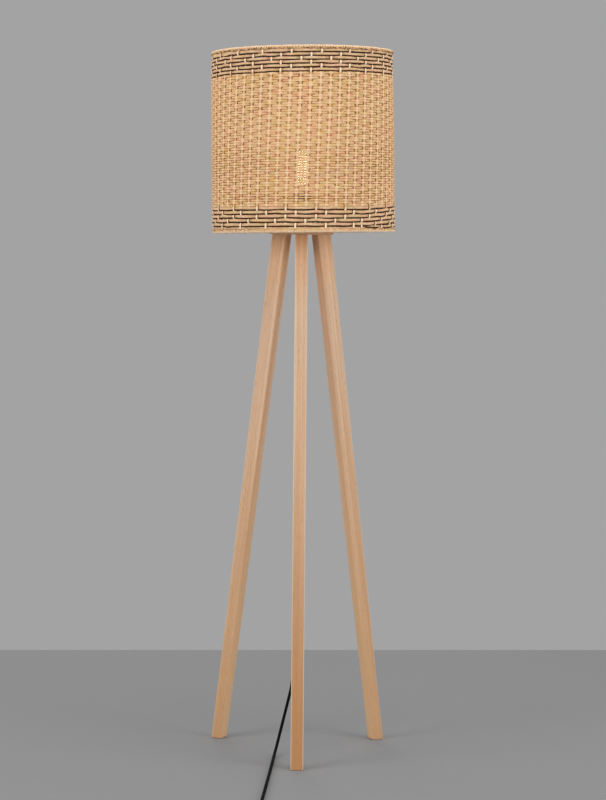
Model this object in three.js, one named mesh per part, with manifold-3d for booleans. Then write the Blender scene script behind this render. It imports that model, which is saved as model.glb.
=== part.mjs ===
// A floor lamp: a woven drum shade over a wooden hub with three splayed, tapered wooden legs.
// Millimetres, +Z up. The origin is on the floor under the middle of the hub, and -Y faces the viewer.
import * as THREE from 'three';
import { mergeVertices } from 'three/addons/utils/BufferGeometryUtils.js';
import Module from 'manifold-3d';

const wasm = await Module();
wasm.setup();

// Clearances that many pieces share
const fit = 0.3; // between two pieces that rest on each other or slide together
const overrun = 1; // how far a cutter runs past the face that it opens

// Facets of round pieces
const fineFacets = 42;
const roundFacets = 20;
const smallFacets = 12;

// Stand: a round hub on three legs
const hubHeight = 1131.5; // floor to the hub's underside
const hubRadius = 69;
const hubThickness = 20;
const hubEdgeRound = 2.5;
const legAzimuths = { front: -90, left: 150, right: 30 }; // degrees
const legWidth = 27; // along the hub's edge
const legTopDepth = 35; // towards the lamp's axis, where the leg meets the hub
const legFootDepth = 24;
const legEdgeRound = 2;
const legFootChamfer = 1.5;
const legSpread = 215.5; // lamp's axis to the outer edge of a foot
const legInset = 0.5; // hub's edge to a leg's outer corners

// Fixings of each leg: a bolt with washer into a threaded insert, and a dowel
const boltDiameter = 6;
const boltLength = 45;
const boltHeadDiameter = 10;
const boltHeadHeight = 6;
const boltSocketAcross = 5;
const boltSocketDepth = 3;
const boltFromLegEdge = 10.5; // leg's outer face to the bolt's axis, at the leg's top
const washerDiameter = 16;
const washerThickness = 1.5;
const insertDiameter = 10;
const insertLength = 20;
const insertDepth = 1; // leg's top to the insert
const dowelDiameter = 6;
const dowelInHub = 13;
const dowelInLeg = 15;
const dowelFromBolt = 12.5;

// Threaded tube through the hub, with its nuts and the grip that holds the cord
const stemDiameter = 10;
const stemBore = 7.4;
const stemBelowHub = 17;
const stemAboveHub = 17;
const nutAcross = 17;
const nutHeight = 5;
const stemWasherDiameter = 24;
const stemWasherThickness = 1.5;
const gripDiameter = 20;
const gripCollarHeight = 13;
const gripTaperLength = 26;
const gripTipDiameter = 10.5;
const gripEdge = 1.5;

// Lampholder
const holderCapDiameter = 44;
const holderCapHeight = 30;
const holderCollarDiameter = 18;
const holderCollarHeight = 6;
const holderFlangeDiameter = 48;
const holderFlangeHeight = 3;
const holderWall = 2.4;
const sleeveDiameter = 39.6;
const sleeveHeight = 37.5;
const sleeveRimRound = 1.5;
const sleeveSpigotHeight = 6;
const shellWall = 0.6;
const shellHeight = 27;
const coreHeight = 13;
const coreDiameter = 31;
const contactWidth = 8;
const contactLength = 16;
const contactThickness = 0.8;
const shadeNutDiameter = 56;
const shadeNutHeight = 10;
const shadeNutFlange = 2.5;
const shadeNutBodyDiameter = 49;

// Bulb
const bulbCapDiameter = 26.4;
const bulbCapHeight = 21;
const bulbInsulatorHeight = 3.5;
const bulbInsulatorDiameter = 24;
const bulbTipDiameter = 9.5;
const bulbTipHeight = 1.8;
const bulbRadius = 32;
const bulbNeckRadius = 14;
const bulbGlassHeight = 112;
const bulbWall = 1;
const bulbNeckHeight = 10;
const glassSteps = 12;
const bulbOutlineShares = [[0.68, 0.32], [0.9, 0.48], [1, 0.66], [0.93, 0.81], [0.66, 0.93], [0.3, 0.99]];
const bulbCapWall = 2;
const bulbStemRadius = 2.5;
const bulbStemHeight = 14;
const filamentThickness = 1.8;
const filamentHeight = 74;
const filamentCageRadius = 8;

// Shade: a woven drum on two wire rings, carried by a spider
const stakeCount = 58;
const shadeRadius = 198.5; // to the outer face of the stakes
const shadeHeight = 388.7;
const shadeAboveHubFoot = 4.1; // hub's underside to the shade's lower edge
const weaveThickness = 3;
const stakeRise = 1.7; // how far a stake stands out of the weave
const stakeWidth = 6.5;
const stakeWeb = 0.6;
const stakeSlant = THREE.MathUtils.degToRad(4.4); // turn of the stakes from the lower to the upper band
const borderHeight = 9.2;
const borderThickness = 7;
const borderProud = 0.9; // how far a border stands out of the stakes
const upperRowPitch = 8;
const lowerRowPitch = 8.4;
const darkRowHeight = 2.5;
const darkRowThickness = 2;
const upperRows = 6;
const lowerRows = 5.25;
const lowerRowsStart = THREE.MathUtils.degToRad(-50);
const upperRowsStart = THREE.MathUtils.degToRad(90);
const rowClimbShare = 0.14; // share of a turn in which a dark row climbs to the next
const rowStartDrop = 3.1; // how far under its first row a dark cord starts
const rowFacets = stakeCount / 2; // steps of a dark row in one turn
const bandMargin = 4.6; // end of the weave to the middle of the nearest dark row
const wireFacets = 36;
const ringWire = 4.5;
const ringInset = 6; // end of the weave to a wire ring's middle
const fitterDiameter = 58;
const fitterThickness = 1.5;
const spiderWire = 4;
const spiderArms = 3;
const armSteps = 10;
const spiderArmsStart = THREE.MathUtils.degToRad(90);
const spiderLevelRun = 12; // level stretch of an arm at each end

// Cord and what is on it
const cordDiameter = 6.5;
const cordSides = 8;
const floorGap = 0.2; // between the floor and a cord on it
const coilTurnsPerLayer = 2.5;
const coilGap = 0.6; // between neighbouring turns
const coilMeanRadius = 34.9;
const coilCentre = new THREE.Vector2(25, -668);
const coilSteps = 24;
const coilSides = 6;
const tieWidth = 9;
const tieThickness = 0.8;
const tieSlack = 0.8; // beside the bundle, whose turns bend inside the tie
const tieAngle = THREE.MathUtils.degToRad(90);
const switchLength = 84;
const switchWidth = 40;
const switchHeight = 20;
const switchWall = 2.2;
const switchBaseHeight = 4;
const switchShoulder = 6;
const switchEndX = -66;
const switchNearY = -585; // the end that faces the lamp
const switchCordEntry = 3; // how far a cord reaches into the switch
const buttonDiameter = 24;
const buttonTravel = 3;
const buttonRiseWhenPressed = 1.5;
const buttonFlange = 2;
const buttonFlangeHeight = 1.6;
const buttonEdge = 1.2;
const springDiameter = 12;
const springWire = 1.1;
const springTurns = 4;
const springSteps = 8;
const springSides = 5;
const postDiameter = 7;
const postHeight = 4;
const screwDiameter = 3;
const screwHeadDiameter = 5.6;
const screwHeadHeight = 1.8;
const screwLength = 9;
const screwFromEnd = 13;
const screwFromMiddle = 11;
const screwBossDiameter = 6.5;
const screwSlotWidth = 0.9;
const plugLength = 36;
const plugWidth = 26;
const plugThickness = 13.6;
const plugNoseRound = 4;
const plugReliefLength = 24;
const plugReliefDiameter = 10;
const plugReliefTip = 8;
const plugCentre = new THREE.Vector2(124, -712);
const pinDiameter = 4;
const pinLength = 19;
const pinSpacing = 18.6;

// Materials
const finish = (color, roughness, metalness = 0) =>
	new THREE.MeshStandardMaterial({ color, roughness, metalness });
const beech = finish(0xc39a6b, 0.55);
const straw = finish(0xe0ba8c, 0.8);
const strawPale = finish(0xecd0a8, 0.8);
const darkCord = finish(0x33231a, 0.75);
const blackSteel = finish(0x2b2b2b, 0.5, 0.6);
const zincSteel = finish(0xb9bcc0, 0.35, 0.9);
const brass = finish(0xc9a14a, 0.3, 0.9);
const ceramic = finish(0xf1ede4, 0.5);
const blackPlastic = finish(0x1c1c1d, 0.5);
const aluminium = finish(0xc8cacc, 0.35, 0.9);
const clearGlass = finish(0xf5e6c8, 0.05);
const filamentGlow = finish(0xffb35c, 0.6);
const blackRubber = finish(0x161616, 0.6);

// Shape helpers

// An indexed copy with shared corners and no collapsed triangles.
function welded(geometry) {
	const bare = geometry.clone();
	bare.deleteAttribute('normal');
	bare.deleteAttribute('uv');
	const merged = mergeVertices(bare);
	const index = merged.getIndex().array;
	const kept = [];
	for (let i = 0; i < index.length; i += 3) {
		const [a, b, c] = [index[i], index[i + 1], index[i + 2]];
		if (a !== b && b !== c && c !== a) kept.push(a, b, c);
	}
	merged.setIndex(kept);
	return outward(merged);
}

// The same surface with its faces pointing out.
function outward(geometry) {
	const place = geometry.getAttribute('position');
	const index = Array.from(geometry.getIndex().array);
	const [a, b, c] = [new THREE.Vector3(), new THREE.Vector3(), new THREE.Vector3()];
	let volume = 0;
	for (let i = 0; i < index.length; i += 3) {
		a.fromBufferAttribute(place, index[i]);
		b.fromBufferAttribute(place, index[i + 1]);
		c.fromBufferAttribute(place, index[i + 2]);
		volume += a.dot(b.cross(c));
	}
	if (volume < 0) geometry.setIndex(index.reverse());
	geometry.computeVertexNormals();
	return geometry;
}

function toManifold(geometry) {
	const shape = welded(geometry);
	return new wasm.Manifold(new wasm.Mesh({
		numProp: 3,
		vertProperties: new Float32Array(shape.getAttribute('position').array),
		triVerts: new Uint32Array(shape.getIndex().array),
	}));
}

function fromManifold(solid) {
	const { vertProperties, triVerts } = solid.getMesh();
	const geometry = new THREE.BufferGeometry();
	geometry.setAttribute('position', new THREE.Float32BufferAttribute(vertProperties, 3));
	geometry.setIndex(Array.from(triVerts));
	geometry.computeVertexNormals();
	return geometry;
}

const cut = (base, ...tools) =>
	fromManifold(tools.reduce((solid, tool) => solid.subtract(toManifold(tool)), toManifold(base)));
const join = (base, ...others) =>
	fromManifold(others.reduce((solid, other) => solid.add(toManifold(other)), toManifold(base)));

// A solid of revolution about Z from [radius, height] pairs.
function revolve(profile, facets) {
	const points = profile.map(([radius, height]) => new THREE.Vector2(radius, height));
	return welded(new THREE.LatheGeometry(points, facets).rotateX(Math.PI / 2));
}

// A revolved profile that closes on itself, for rings and sleeves.
const ring = (profile, facets) => revolve([...profile, profile[0]], facets);

function cylinder(radius, bottom, top, facets) {
	return revolve([[0, bottom], [radius, bottom], [radius, top], [0, top]], facets);
}

function sleeve(outer, inner, bottom, top, facets) {
	return ring([[inner, bottom], [outer, bottom], [outer, top], [inner, top]], facets);
}

// A prism along Z over an outline of Vector2 points, with an optional hole outline.
function prism(outline, bottom, top, hole) {
	const shape = new THREE.Shape(outline);
	if (hole) shape.holes.push(new THREE.Path(hole));
	const solid = new THREE.ExtrudeGeometry(shape, { depth: top - bottom, bevelEnabled: false, steps: 1 });
	return welded(solid.translate(0, 0, bottom));
}

// A skin through rings of equal point counts: its two ends are closed by fans.
function loft(rings) {
	const count = rings[0].length;
	const points = rings.flat();
	const index = [];
	for (let r = 0; r + 1 < rings.length; r++) {
		for (let i = 0; i < count; i++) {
			const next = (i + 1) % count;
			const [a, b] = [r * count + i, r * count + next];
			index.push(a, b, b + count, a, b + count, a + count);
		}
	}
	const last = (rings.length - 1) * count;
	for (let i = 1; i + 1 < count; i++) {
		index.push(0, i + 1, i, last, last + i, last + i + 1);
	}
	const geometry = new THREE.BufferGeometry().setFromPoints(points);
	geometry.setIndex(index);
	return outward(geometry);
}

function roundedRectangle(width, depth, radius, stepsPerCorner) {
	const [x, y] = [width / 2 - radius, depth / 2 - radius];
	const corners = [[x, y], [-x, y], [-x, -y], [x, -y]];
	return corners.flatMap(([cx, cy], quarter) =>
		Array.from({ length: stepsPerCorner + 1 }, (_, step) => {
			const angle = (quarter + step / stepsPerCorner) * Math.PI / 2;
			return new THREE.Vector2(cx + radius * Math.cos(angle), cy + radius * Math.sin(angle));
		}));
}

function polygon(radius, sides, turn = 0) {
	return Array.from({ length: sides }, (_, i) => {
		const angle = turn + i * 2 * Math.PI / sides;
		return new THREE.Vector2(radius * Math.cos(angle), radius * Math.sin(angle));
	});
}

const hexagon = (across) => polygon(across / 2 / Math.cos(Math.PI / 6), 6);

// A tube along a smooth curve through points.
function cordTube(points, diameter, sides, steps) {
	const path = new THREE.CatmullRomCurve3(points, false, 'centripetal');
	const section = new THREE.Shape(polygon(diameter / 2, sides, Math.PI / sides));
	return welded(new THREE.ExtrudeGeometry(section, { steps, bevelEnabled: false, extrudePath: path }));
}

// A tube through the points of a formula, with its rings kept upright.
function windingTube(points, radius, sides) {
	const up = new THREE.Vector3(0, 0, 1);
	const rings = points.map((point, i) => {
		const ahead = points[Math.min(i + 1, points.length - 1)].clone();
		const along = ahead.sub(points[Math.max(i - 1, 0)]).normalize();
		const side = along.clone().cross(up).normalize();
		const top = side.clone().cross(along).normalize();
		return polygon(radius, sides, Math.PI / sides).map(({ x, y }) =>
			point.clone().addScaledVector(side, x).addScaledVector(top, y));
	});
	return loft(rings);
}

// The least distance between parts of a winding that lie more than half a turn apart.
function leastGap(points, stepsPerTurn, diameter) {
	let least = Infinity;
	for (let i = 0; i < points.length; i++) {
		for (let j = i + Math.floor(stepsPerTurn / 2); j < points.length; j++) {
			least = Math.min(least, points[i].distanceTo(points[j]) - diameter);
		}
	}
	return least;
}

const lamp = new THREE.Group();

function add(name, geometry, material, parent = lamp) {
	const mesh = new THREE.Mesh(geometry, material);
	mesh.name = name;
	parent.add(mesh);
	return mesh;
}

// Hub and legs
const hubTop = hubHeight + hubThickness;
const legTop = hubHeight - fit;
const legTopOuter = Math.sqrt((hubRadius - legInset) ** 2 - (legWidth / 2) ** 2);
const legSlope = (legSpread - legTopOuter) / legTop;
const legTaper = (legTopDepth - legFootDepth) / legTop;
const boltRadius = legTopOuter - boltFromLegEdge;
const dowelRadius = boltRadius - dowelFromBolt;
const insertBottom = legTop - insertDepth - insertLength;

function legGeometry() {
	const section = (height, inset) => {
		const depth = legFootDepth + legTaper * height;
		const middle = legTopOuter + (legTop - height) * legSlope - depth / 2;
		return roundedRectangle(depth - 2 * inset, legWidth - 2 * inset, legEdgeRound, 3).map(({ x, y }) =>
			new THREE.Vector3(middle + x, y, height));
	};
	const body = loft([section(0, legFootChamfer), section(legFootChamfer, 0), section(legTop, 0)]);
	const insertHole = cylinder(insertDiameter / 2 + fit, insertBottom - fit, legTop + overrun, smallFacets)
		.translate(boltRadius, 0, 0);
	const boltTip = hubTop + washerThickness + 2 * fit - boltLength;
	const boltHole = cylinder(boltDiameter / 2 + fit, boltTip - boltDiameter, legTop + overrun, smallFacets)
		.translate(boltRadius, 0, 0);
	const dowelHole = cylinder(dowelDiameter / 2 + fit, legTop - dowelInLeg - fit, legTop + overrun, smallFacets)
		.translate(dowelRadius, 0, 0);
	return cut(body, insertHole, boltHole, dowelHole);
}

function hubGeometry() {
	const round = (radius, height, from) =>
		[0, 1, 2].map((step) => {
			const angle = from + step * Math.PI / 4;
			return [radius + hubEdgeRound * Math.cos(angle), height + hubEdgeRound * Math.sin(angle)];
		});
	const inner = hubRadius - hubEdgeRound;
	const disc = revolve([
		[0, hubHeight],
		...round(inner, hubHeight + hubEdgeRound, -Math.PI / 2),
		...round(inner, hubTop - hubEdgeRound, 0),
		[0, hubTop],
	], fineFacets);
	const holes = [cylinder(stemDiameter / 2 + fit, hubHeight - overrun, hubTop + overrun, roundFacets)];
	for (const azimuth of Object.values(legAzimuths)) {
		const turn = THREE.MathUtils.degToRad(azimuth);
		const boltHole = cylinder(boltDiameter / 2 + fit, hubHeight - overrun, hubTop + overrun, smallFacets);
		const dowelHole = cylinder(dowelDiameter / 2 + fit, hubHeight - overrun, hubHeight + dowelInHub + fit,
			smallFacets);
		holes.push(boltHole.translate(boltRadius, 0, 0).rotateZ(turn));
		holes.push(dowelHole.translate(dowelRadius, 0, 0).rotateZ(turn));
	}
	return cut(disc, ...holes);
}

function boltGeometry() {
	const seat = hubTop + washerThickness + 2 * fit;
	const head = cylinder(boltHeadDiameter / 2, seat, seat + boltHeadHeight, roundFacets);
	const shank = cylinder(boltDiameter / 2, seat - boltLength, seat + boltSocketDepth / 2, smallFacets);
	const socketFloor = seat + boltHeadHeight - boltSocketDepth;
	const socket = prism(hexagon(boltSocketAcross), socketFloor, seat + boltHeadHeight + overrun);
	return cut(join(head, shank), socket);
}

add('hub_disc', hubGeometry(), beech);
for (const [side, azimuth] of Object.entries(legAzimuths)) {
	const corner = new THREE.Group();
	corner.rotation.z = THREE.MathUtils.degToRad(azimuth);
	lamp.add(corner);
	add(`leg_${side}`, legGeometry(), beech, corner);
	const bolt = add(`leg_bolt_${side}`, boltGeometry(), zincSteel, corner);
	bolt.position.x = boltRadius;
	const washerBottom = hubTop + fit;
	const washer = add(`leg_washer_${side}`, sleeve(washerDiameter / 2, boltDiameter / 2 + fit, washerBottom,
		washerBottom + washerThickness, smallFacets), zincSteel, corner);
	washer.position.x = boltRadius;
	const insert = add(`leg_insert_${side}`, sleeve(insertDiameter / 2, boltDiameter / 2 + fit, insertBottom,
		insertBottom + insertLength, smallFacets), brass, corner);
	insert.position.x = boltRadius;
	const dowel = add(`leg_dowel_${side}`, cylinder(dowelDiameter / 2, legTop - dowelInLeg,
		hubHeight + dowelInHub, smallFacets), beech, corner);
	dowel.position.x = dowelRadius;
}

// Threaded tube, nuts and cord grip
const lowerNutTop = hubHeight - stemWasherThickness - 2 * fit;
const gripTop = lowerNutTop - nutHeight - fit;
const gripBottom = gripTop - gripCollarHeight - gripTaperLength;
const stemBottom = hubHeight - stemBelowHub;
const stemTop = hubTop + stemAboveHub;
const stemHole = stemDiameter / 2 + fit;
const cordHole = cordDiameter / 2 + fit;

function nutGeometry(bottom) {
	return prism(hexagon(nutAcross), bottom, bottom + nutHeight, polygon(stemHole, roundFacets));
}

function cordGripGeometry() {
	const outside = gripDiameter / 2;
	const socketFloor = stemBottom - fit;
	return ring([
		[cordHole, gripBottom],
		[gripTipDiameter / 2, gripBottom],
		[outside - gripEdge, gripTop - gripCollarHeight],
		[outside, gripTop - gripCollarHeight + gripEdge],
		[outside, gripTop - gripEdge],
		[outside - gripEdge, gripTop],
		[stemHole, gripTop],
		[stemHole, socketFloor],
		[cordHole, socketFloor],
	], roundFacets);
}

add('stem_tube', sleeve(stemDiameter / 2, stemBore / 2, stemBottom, stemTop, roundFacets), zincSteel);
add('stem_washer', sleeve(stemWasherDiameter / 2, stemHole, hubHeight - fit - stemWasherThickness,
	hubHeight - fit, roundFacets), zincSteel);
add('stem_nut_lower', nutGeometry(lowerNutTop - nutHeight), zincSteel);
add('stem_nut_upper', nutGeometry(hubTop + fit), zincSteel);
add('cord_grip', cordGripGeometry(), blackPlastic);

// Lampholder
const holderBottom = hubTop + nutHeight + 2 * fit;
const holderTop = holderBottom + holderCapHeight; // where the sleeve stands on the cap
const sleeveBottom = holderTop + fit;
const sleeveTop = sleeveBottom + sleeveHeight;
const shellInner = bulbCapDiameter / 2 + 1.5 * fit;
const shellOuter = shellInner + shellWall;
const spigotRadius = holderCapDiameter / 2 - holderWall - fit;
const sleeveInner = shellOuter + fit;
const coreTop = sleeveTop - shellHeight - 3 * fit;
const coreBottom = coreTop - coreHeight;

function holderCapGeometry() {
	const [outside, collar] = [holderCapDiameter / 2, holderCollarDiameter / 2];
	const flange = holderFlangeDiameter / 2;
	const shoulder = holderBottom + holderCollarHeight;
	const domeHeight = (holderTop - holderFlangeHeight - shoulder) / 2;
	const dome = (radius, from, rise) => [0, 1, 2, 3].map((step) => {
		const angle = step * Math.PI / 6;
		return [from + (radius - from) * Math.sin(angle), shoulder + rise + domeHeight * (1 - Math.cos(angle))];
	});
	return ring([
		[stemHole, holderBottom],
		[collar, holderBottom],
		...dome(outside, collar, 0),
		[outside, holderTop - holderFlangeHeight],
		[flange, holderTop - holderFlangeHeight],
		[flange, holderTop],
		[outside - holderWall, holderTop],
		...dome(outside - holderWall, collar - holderWall, holderWall).reverse(),
		[stemHole, shoulder + holderWall],
	], roundFacets);
}

function sleeveGeometry() {
	const outside = sleeveDiameter / 2;
	return ring([
		[coreDiameter / 2 + fit, sleeveBottom - sleeveSpigotHeight],
		[spigotRadius, sleeveBottom - sleeveSpigotHeight],
		[spigotRadius, sleeveBottom],
		[outside, sleeveBottom],
		[outside, sleeveTop - sleeveRimRound],
		[outside - sleeveRimRound, sleeveTop],
		[sleeveInner, sleeveTop],
		[sleeveInner, coreTop + fit],
		[coreDiameter / 2 + fit, coreTop + fit],
	], roundFacets);
}

function coreGeometry() {
	const body = cylinder(coreDiameter / 2, coreBottom, coreTop, roundFacets);
	const recess = cylinder(shellInner - shellWall, coreTop - contactThickness - 2 * fit, coreTop + overrun,
		roundFacets);
	return cut(body, recess);
}

function contactGeometry() {
	const bottom = coreTop - contactThickness - fit;
	const strip = new THREE.BoxGeometry(contactWidth, contactLength, contactThickness)
		.translate(0, 0, bottom + contactThickness / 2);
	const tongueFoot = bottom + contactThickness / 2;
	const tongueRise = bulbBottom - fit - tongueFoot;
	const tongue = new THREE.CylinderGeometry(contactWidth / 4, contactWidth / 2, tongueRise, smallFacets)
		.rotateX(Math.PI / 2).translate(0, 0, tongueFoot + tongueRise / 2);
	return join(strip, tongue);
}

function shadeNutGeometry(bottom) {
	const [outside, body, hole] = [shadeNutDiameter / 2, shadeNutBodyDiameter / 2, sleeveDiameter / 2 + fit];
	const nut = ring([
		[hole, bottom],
		[outside, bottom],
		[outside, bottom + shadeNutFlange],
		[body, bottom + shadeNutFlange],
		[body, bottom + shadeNutHeight],
		[hole, bottom + shadeNutHeight],
	], roundFacets);
	const notches = polygon(body, smallFacets).map(({ x, y }) => {
		const notchRadius = shadeNutFlange / 2;
		return cylinder(notchRadius, bottom + shadeNutFlange, bottom + shadeNutHeight + overrun, 6)
			.translate(x, y, 0);
	});
	return cut(nut, ...notches);
}

// Bulb places, from the sleeve that it screws into
const bulbCapTop = sleeveTop + fit;
const bulbCapBottom = bulbCapTop - bulbCapHeight;
const insulatorBottom = bulbCapBottom - bulbInsulatorHeight;
const bulbBottom = insulatorBottom - bulbTipHeight;

const fitterBottom = holderTop + fit;
const fitterTop = fitterBottom + fitterThickness;
add('holder_cap', holderCapGeometry(), blackPlastic);
add('holder_sleeve', sleeveGeometry(), blackPlastic);
add('holder_core', coreGeometry(), ceramic);
add('holder_contact', contactGeometry(), brass);
add('holder_screw_shell', sleeve(shellOuter, shellInner, coreTop + 2 * fit, coreTop + 2 * fit + shellHeight,
	roundFacets), brass);
add('shade_nut', shadeNutGeometry(fitterTop + fit), blackPlastic);

// Bulb
const glassBottom = bulbCapTop + fit;
const glassTop = glassBottom + bulbGlassHeight;

function glassGeometry() {
	const tall = bulbGlassHeight - bulbNeckHeight;
	const outline = new THREE.SplineCurve([
		new THREE.Vector2(bulbNeckRadius, glassBottom),
		new THREE.Vector2(bulbNeckRadius, glassBottom + bulbNeckHeight),
		...bulbOutlineShares.map(([wide, high]) =>
			new THREE.Vector2(bulbRadius * wide, glassBottom + bulbNeckHeight + tall * high)),
		new THREE.Vector2(0, glassTop),
	]);
	const outside = outline.getPoints(glassSteps);
	outside[glassSteps].x = 0;
	const inside = outside.map((point, i) => {
		const along = outline.getTangent(i / glassSteps);
		return [Math.max(0, point.x - bulbWall * along.y), point.y + bulbWall * along.x];
	});
	inside[0] = [outside[0].x - bulbWall, glassBottom];
	inside[glassSteps] = [0, glassTop - bulbWall];
	return ring([...outside.map(({ x, y }) => [x, y]), ...inside.reverse()], roundFacets);
}

function bulbStemGeometry() {
	const flare = bulbNeckRadius - bulbWall - fit;
	return revolve([
		[0, glassBottom],
		[flare, glassBottom],
		[flare, glassBottom + bulbWall],
		[bulbStemRadius, glassBottom + bulbNeckHeight],
		[bulbStemRadius, glassBottom + bulbStemHeight],
		[0, glassBottom + bulbStemHeight],
	], smallFacets);
}

function filamentGeometry() {
	const bottom = glassBottom + bulbStemHeight + filamentThickness / 2 + fit;
	const top = bottom + filamentHeight;
	const bend = filamentCageRadius / 2;
	const at = (quarter, height, radius = filamentCageRadius) => {
		const angle = (quarter + 0.5) * Math.PI / 2;
		return new THREE.Vector3(radius * Math.cos(angle), radius * Math.sin(angle), height);
	};
	const path = [at(0, bottom, bend / 2), at(0, bottom, bend)];
	for (let quarter = 0; quarter < 4; quarter++) {
		const [from, to] = quarter % 2 ? [top - bend, bottom + bend] : [bottom + bend, top - bend];
		path.push(at(quarter, from), at(quarter, to));
		if (quarter < 3) path.push(at(quarter + 0.5, quarter % 2 ? bottom : top));
	}
	path.push(at(3, bottom, bend), at(3, bottom, bend / 2));
	return cordTube(path, filamentThickness, 4, 44);
}

add('bulb_cap', sleeve(bulbCapDiameter / 2, bulbCapDiameter / 2 - bulbCapWall, bulbCapBottom, bulbCapTop,
	roundFacets), aluminium);
add('bulb_insulator', revolve([[0, insulatorBottom + fit], [bulbTipDiameter / 2, insulatorBottom + fit],
	[bulbInsulatorDiameter / 2, bulbCapBottom - fit], [0, bulbCapBottom - fit]], roundFacets), blackPlastic);
add('bulb_tip', revolve([[0, bulbBottom], [bulbTipDiameter / 4, bulbBottom],
	[bulbTipDiameter / 2, insulatorBottom], [0, insulatorBottom]], smallFacets), zincSteel);
add('bulb_glass', glassGeometry(), clearGlass);
add('bulb_stem', bulbStemGeometry(), clearGlass);
add('bulb_filament', filamentGeometry(), filamentGlow);

// Shade
const shadeBottom = hubHeight + shadeAboveHubFoot;
const shadeTop = shadeBottom + shadeHeight;
const weaveBottom = shadeBottom + borderHeight + fit;
const weaveTop = shadeTop - borderHeight - fit;
const facetSagShare = 1 - Math.cos(Math.PI / stakeCount); // how far a flat lies inside its corners
const webInner = shadeRadius - stakeRise - stakeWeb;
const weaveOuter = (webInner - fit) * (1 - facetSagShare);
const weaveInner = weaveOuter - weaveThickness;
const lowerRowHeight = weaveBottom + bandMargin; // the first dark row of each band
const upperRowHeight = weaveTop - bandMargin - (upperRows - 1) * upperRowPitch;
const lowerBandTop = lowerRowHeight + lowerRows * lowerRowPitch;
const upperBandBottom = upperRowHeight - rowStartDrop - darkRowHeight;

function stakesGeometry() {
	const halfStake = stakeWidth / 2 / shadeRadius;
	const outline = [];
	for (let k = 0; k < stakeCount; k++) {
		const middle = k * 2 * Math.PI / stakeCount;
		const web = shadeRadius - stakeRise;
		for (const [angle, radius] of [[-halfStake, web], [-halfStake, shadeRadius], [halfStake, shadeRadius],
			[halfStake, web]]) {
			const turn = middle + angle;
			outline.push(new THREE.Vector2(radius * Math.cos(turn), radius * Math.sin(turn)));
		}
	}
	const bottom = lowerBandTop + fit;
	const top = upperBandBottom - fit;
	// Mirrored, so that the diagonals of its walls lean the way that the stakes do.
	const skin = prism(outline, bottom, top, polygon(webInner, stakeCount)).scale(1, -1, 1);
	const place = skin.getAttribute('position');
	const point = new THREE.Vector3();
	const axis = new THREE.Vector3(0, 0, 1);
	for (let i = 0; i < place.count; i++) {
		point.fromBufferAttribute(place, i);
		point.applyAxisAngle(axis, stakeSlant * (point.z - bottom) / (top - bottom));
		place.setXYZ(i, point.x, point.y, point.z);
	}
	return outward(skin);
}

// One dark cord that winds up through a band of the weave: it runs level, and climbs past its own start.
function darkRowPoints(firstHeight, pitch, turns, start) {
	const radius = (weaveOuter + fit) / Math.cos(Math.PI / rowFacets) + darkRowThickness / 2;
	return Array.from({ length: Math.round(turns * rowFacets) + 1 }, (_, i) => {
		const turn = i / rowFacets;
		const climb = Math.min(1, (turn % 1) / rowClimbShare);
		const row = Math.max(Math.floor(turn) - 1 + climb, -rowStartDrop / pitch);
		const angle = start + turn * 2 * Math.PI;
		return new THREE.Vector3(radius * Math.cos(angle), radius * Math.sin(angle),
			firstHeight + pitch * row);
	});
}

function darkRowGeometry(points) {
	return loft(points.map((point) => {
		const out = new THREE.Vector3(point.x, point.y, 0).normalize();
		const corners = [[-1, -1], [1, -1], [1, 1], [-1, 1]];
		return corners.map(([across, up]) => point.clone().addScaledVector(out, across * darkRowThickness / 2)
			.add(new THREE.Vector3(0, 0, up * darkRowHeight / 2)));
	}));
}

// A plaited edge, as a ring with a rounded outer face.
function borderGeometry(bottom) {
	const outside = shadeRadius + borderProud;
	const inside = outside - borderThickness;
	const edge = borderThickness / 4;
	return ring([
		[inside, bottom],
		[outside - edge, bottom],
		[outside, bottom + borderHeight / 3],
		[outside, bottom + borderHeight * 2 / 3],
		[outside - edge, bottom + borderHeight],
		[inside, bottom + borderHeight],
	], stakeCount);
}

const ringRadius = weaveInner * (1 - facetSagShare) - fit - ringWire / 2;
const lowerRingHeight = weaveBottom + ringInset;
const upperRingHeight = weaveTop - ringInset;

function wireRing(height) {
	const wire = polygon(ringWire / 2, 6).map(({ x, y }) => [ringRadius + x, height + y]);
	return ring(wire, wireFacets);
}

function spiderGeometry() {
	const plate = sleeve(fitterDiameter / 2, sleeveDiameter / 2 + fit, fitterBottom, fitterTop, roundFacets);
	const inner = (fitterDiameter + sleeveDiameter) / 4;
	const outer = ringRadius - ringWire / 2 - fit;
	const armHeight = fitterBottom + fitterThickness / 2;
	const arms = Array.from({ length: spiderArms }, (_, k) => {
		const path = new THREE.CatmullRomCurve3([
			new THREE.Vector3(inner, 0, armHeight),
			new THREE.Vector3(inner + spiderLevelRun, 0, armHeight),
			new THREE.Vector3(outer - spiderLevelRun, 0, lowerRingHeight),
			new THREE.Vector3(outer, 0, lowerRingHeight),
		], false, 'centripetal');
		const section = new THREE.Shape(polygon(spiderWire / 2, 6));
		return new THREE.ExtrudeGeometry(section, { steps: armSteps, bevelEnabled: false, extrudePath: path })
			.rotateZ(spiderArmsStart + k * 2 * Math.PI / spiderArms);
	});
	const nutSeat = sleeve(fitterDiameter / 2 + overrun, sleeveDiameter / 2 - overrun, fitterTop,
		fitterTop + spiderWire, roundFacets);
	const flangeSeat = sleeve(fitterDiameter / 2 + overrun, sleeveDiameter / 2 - overrun,
		fitterBottom - spiderWire, fitterBottom, roundFacets);
	return cut(join(plate, ...arms), nutSeat, flangeSeat);
}

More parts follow.
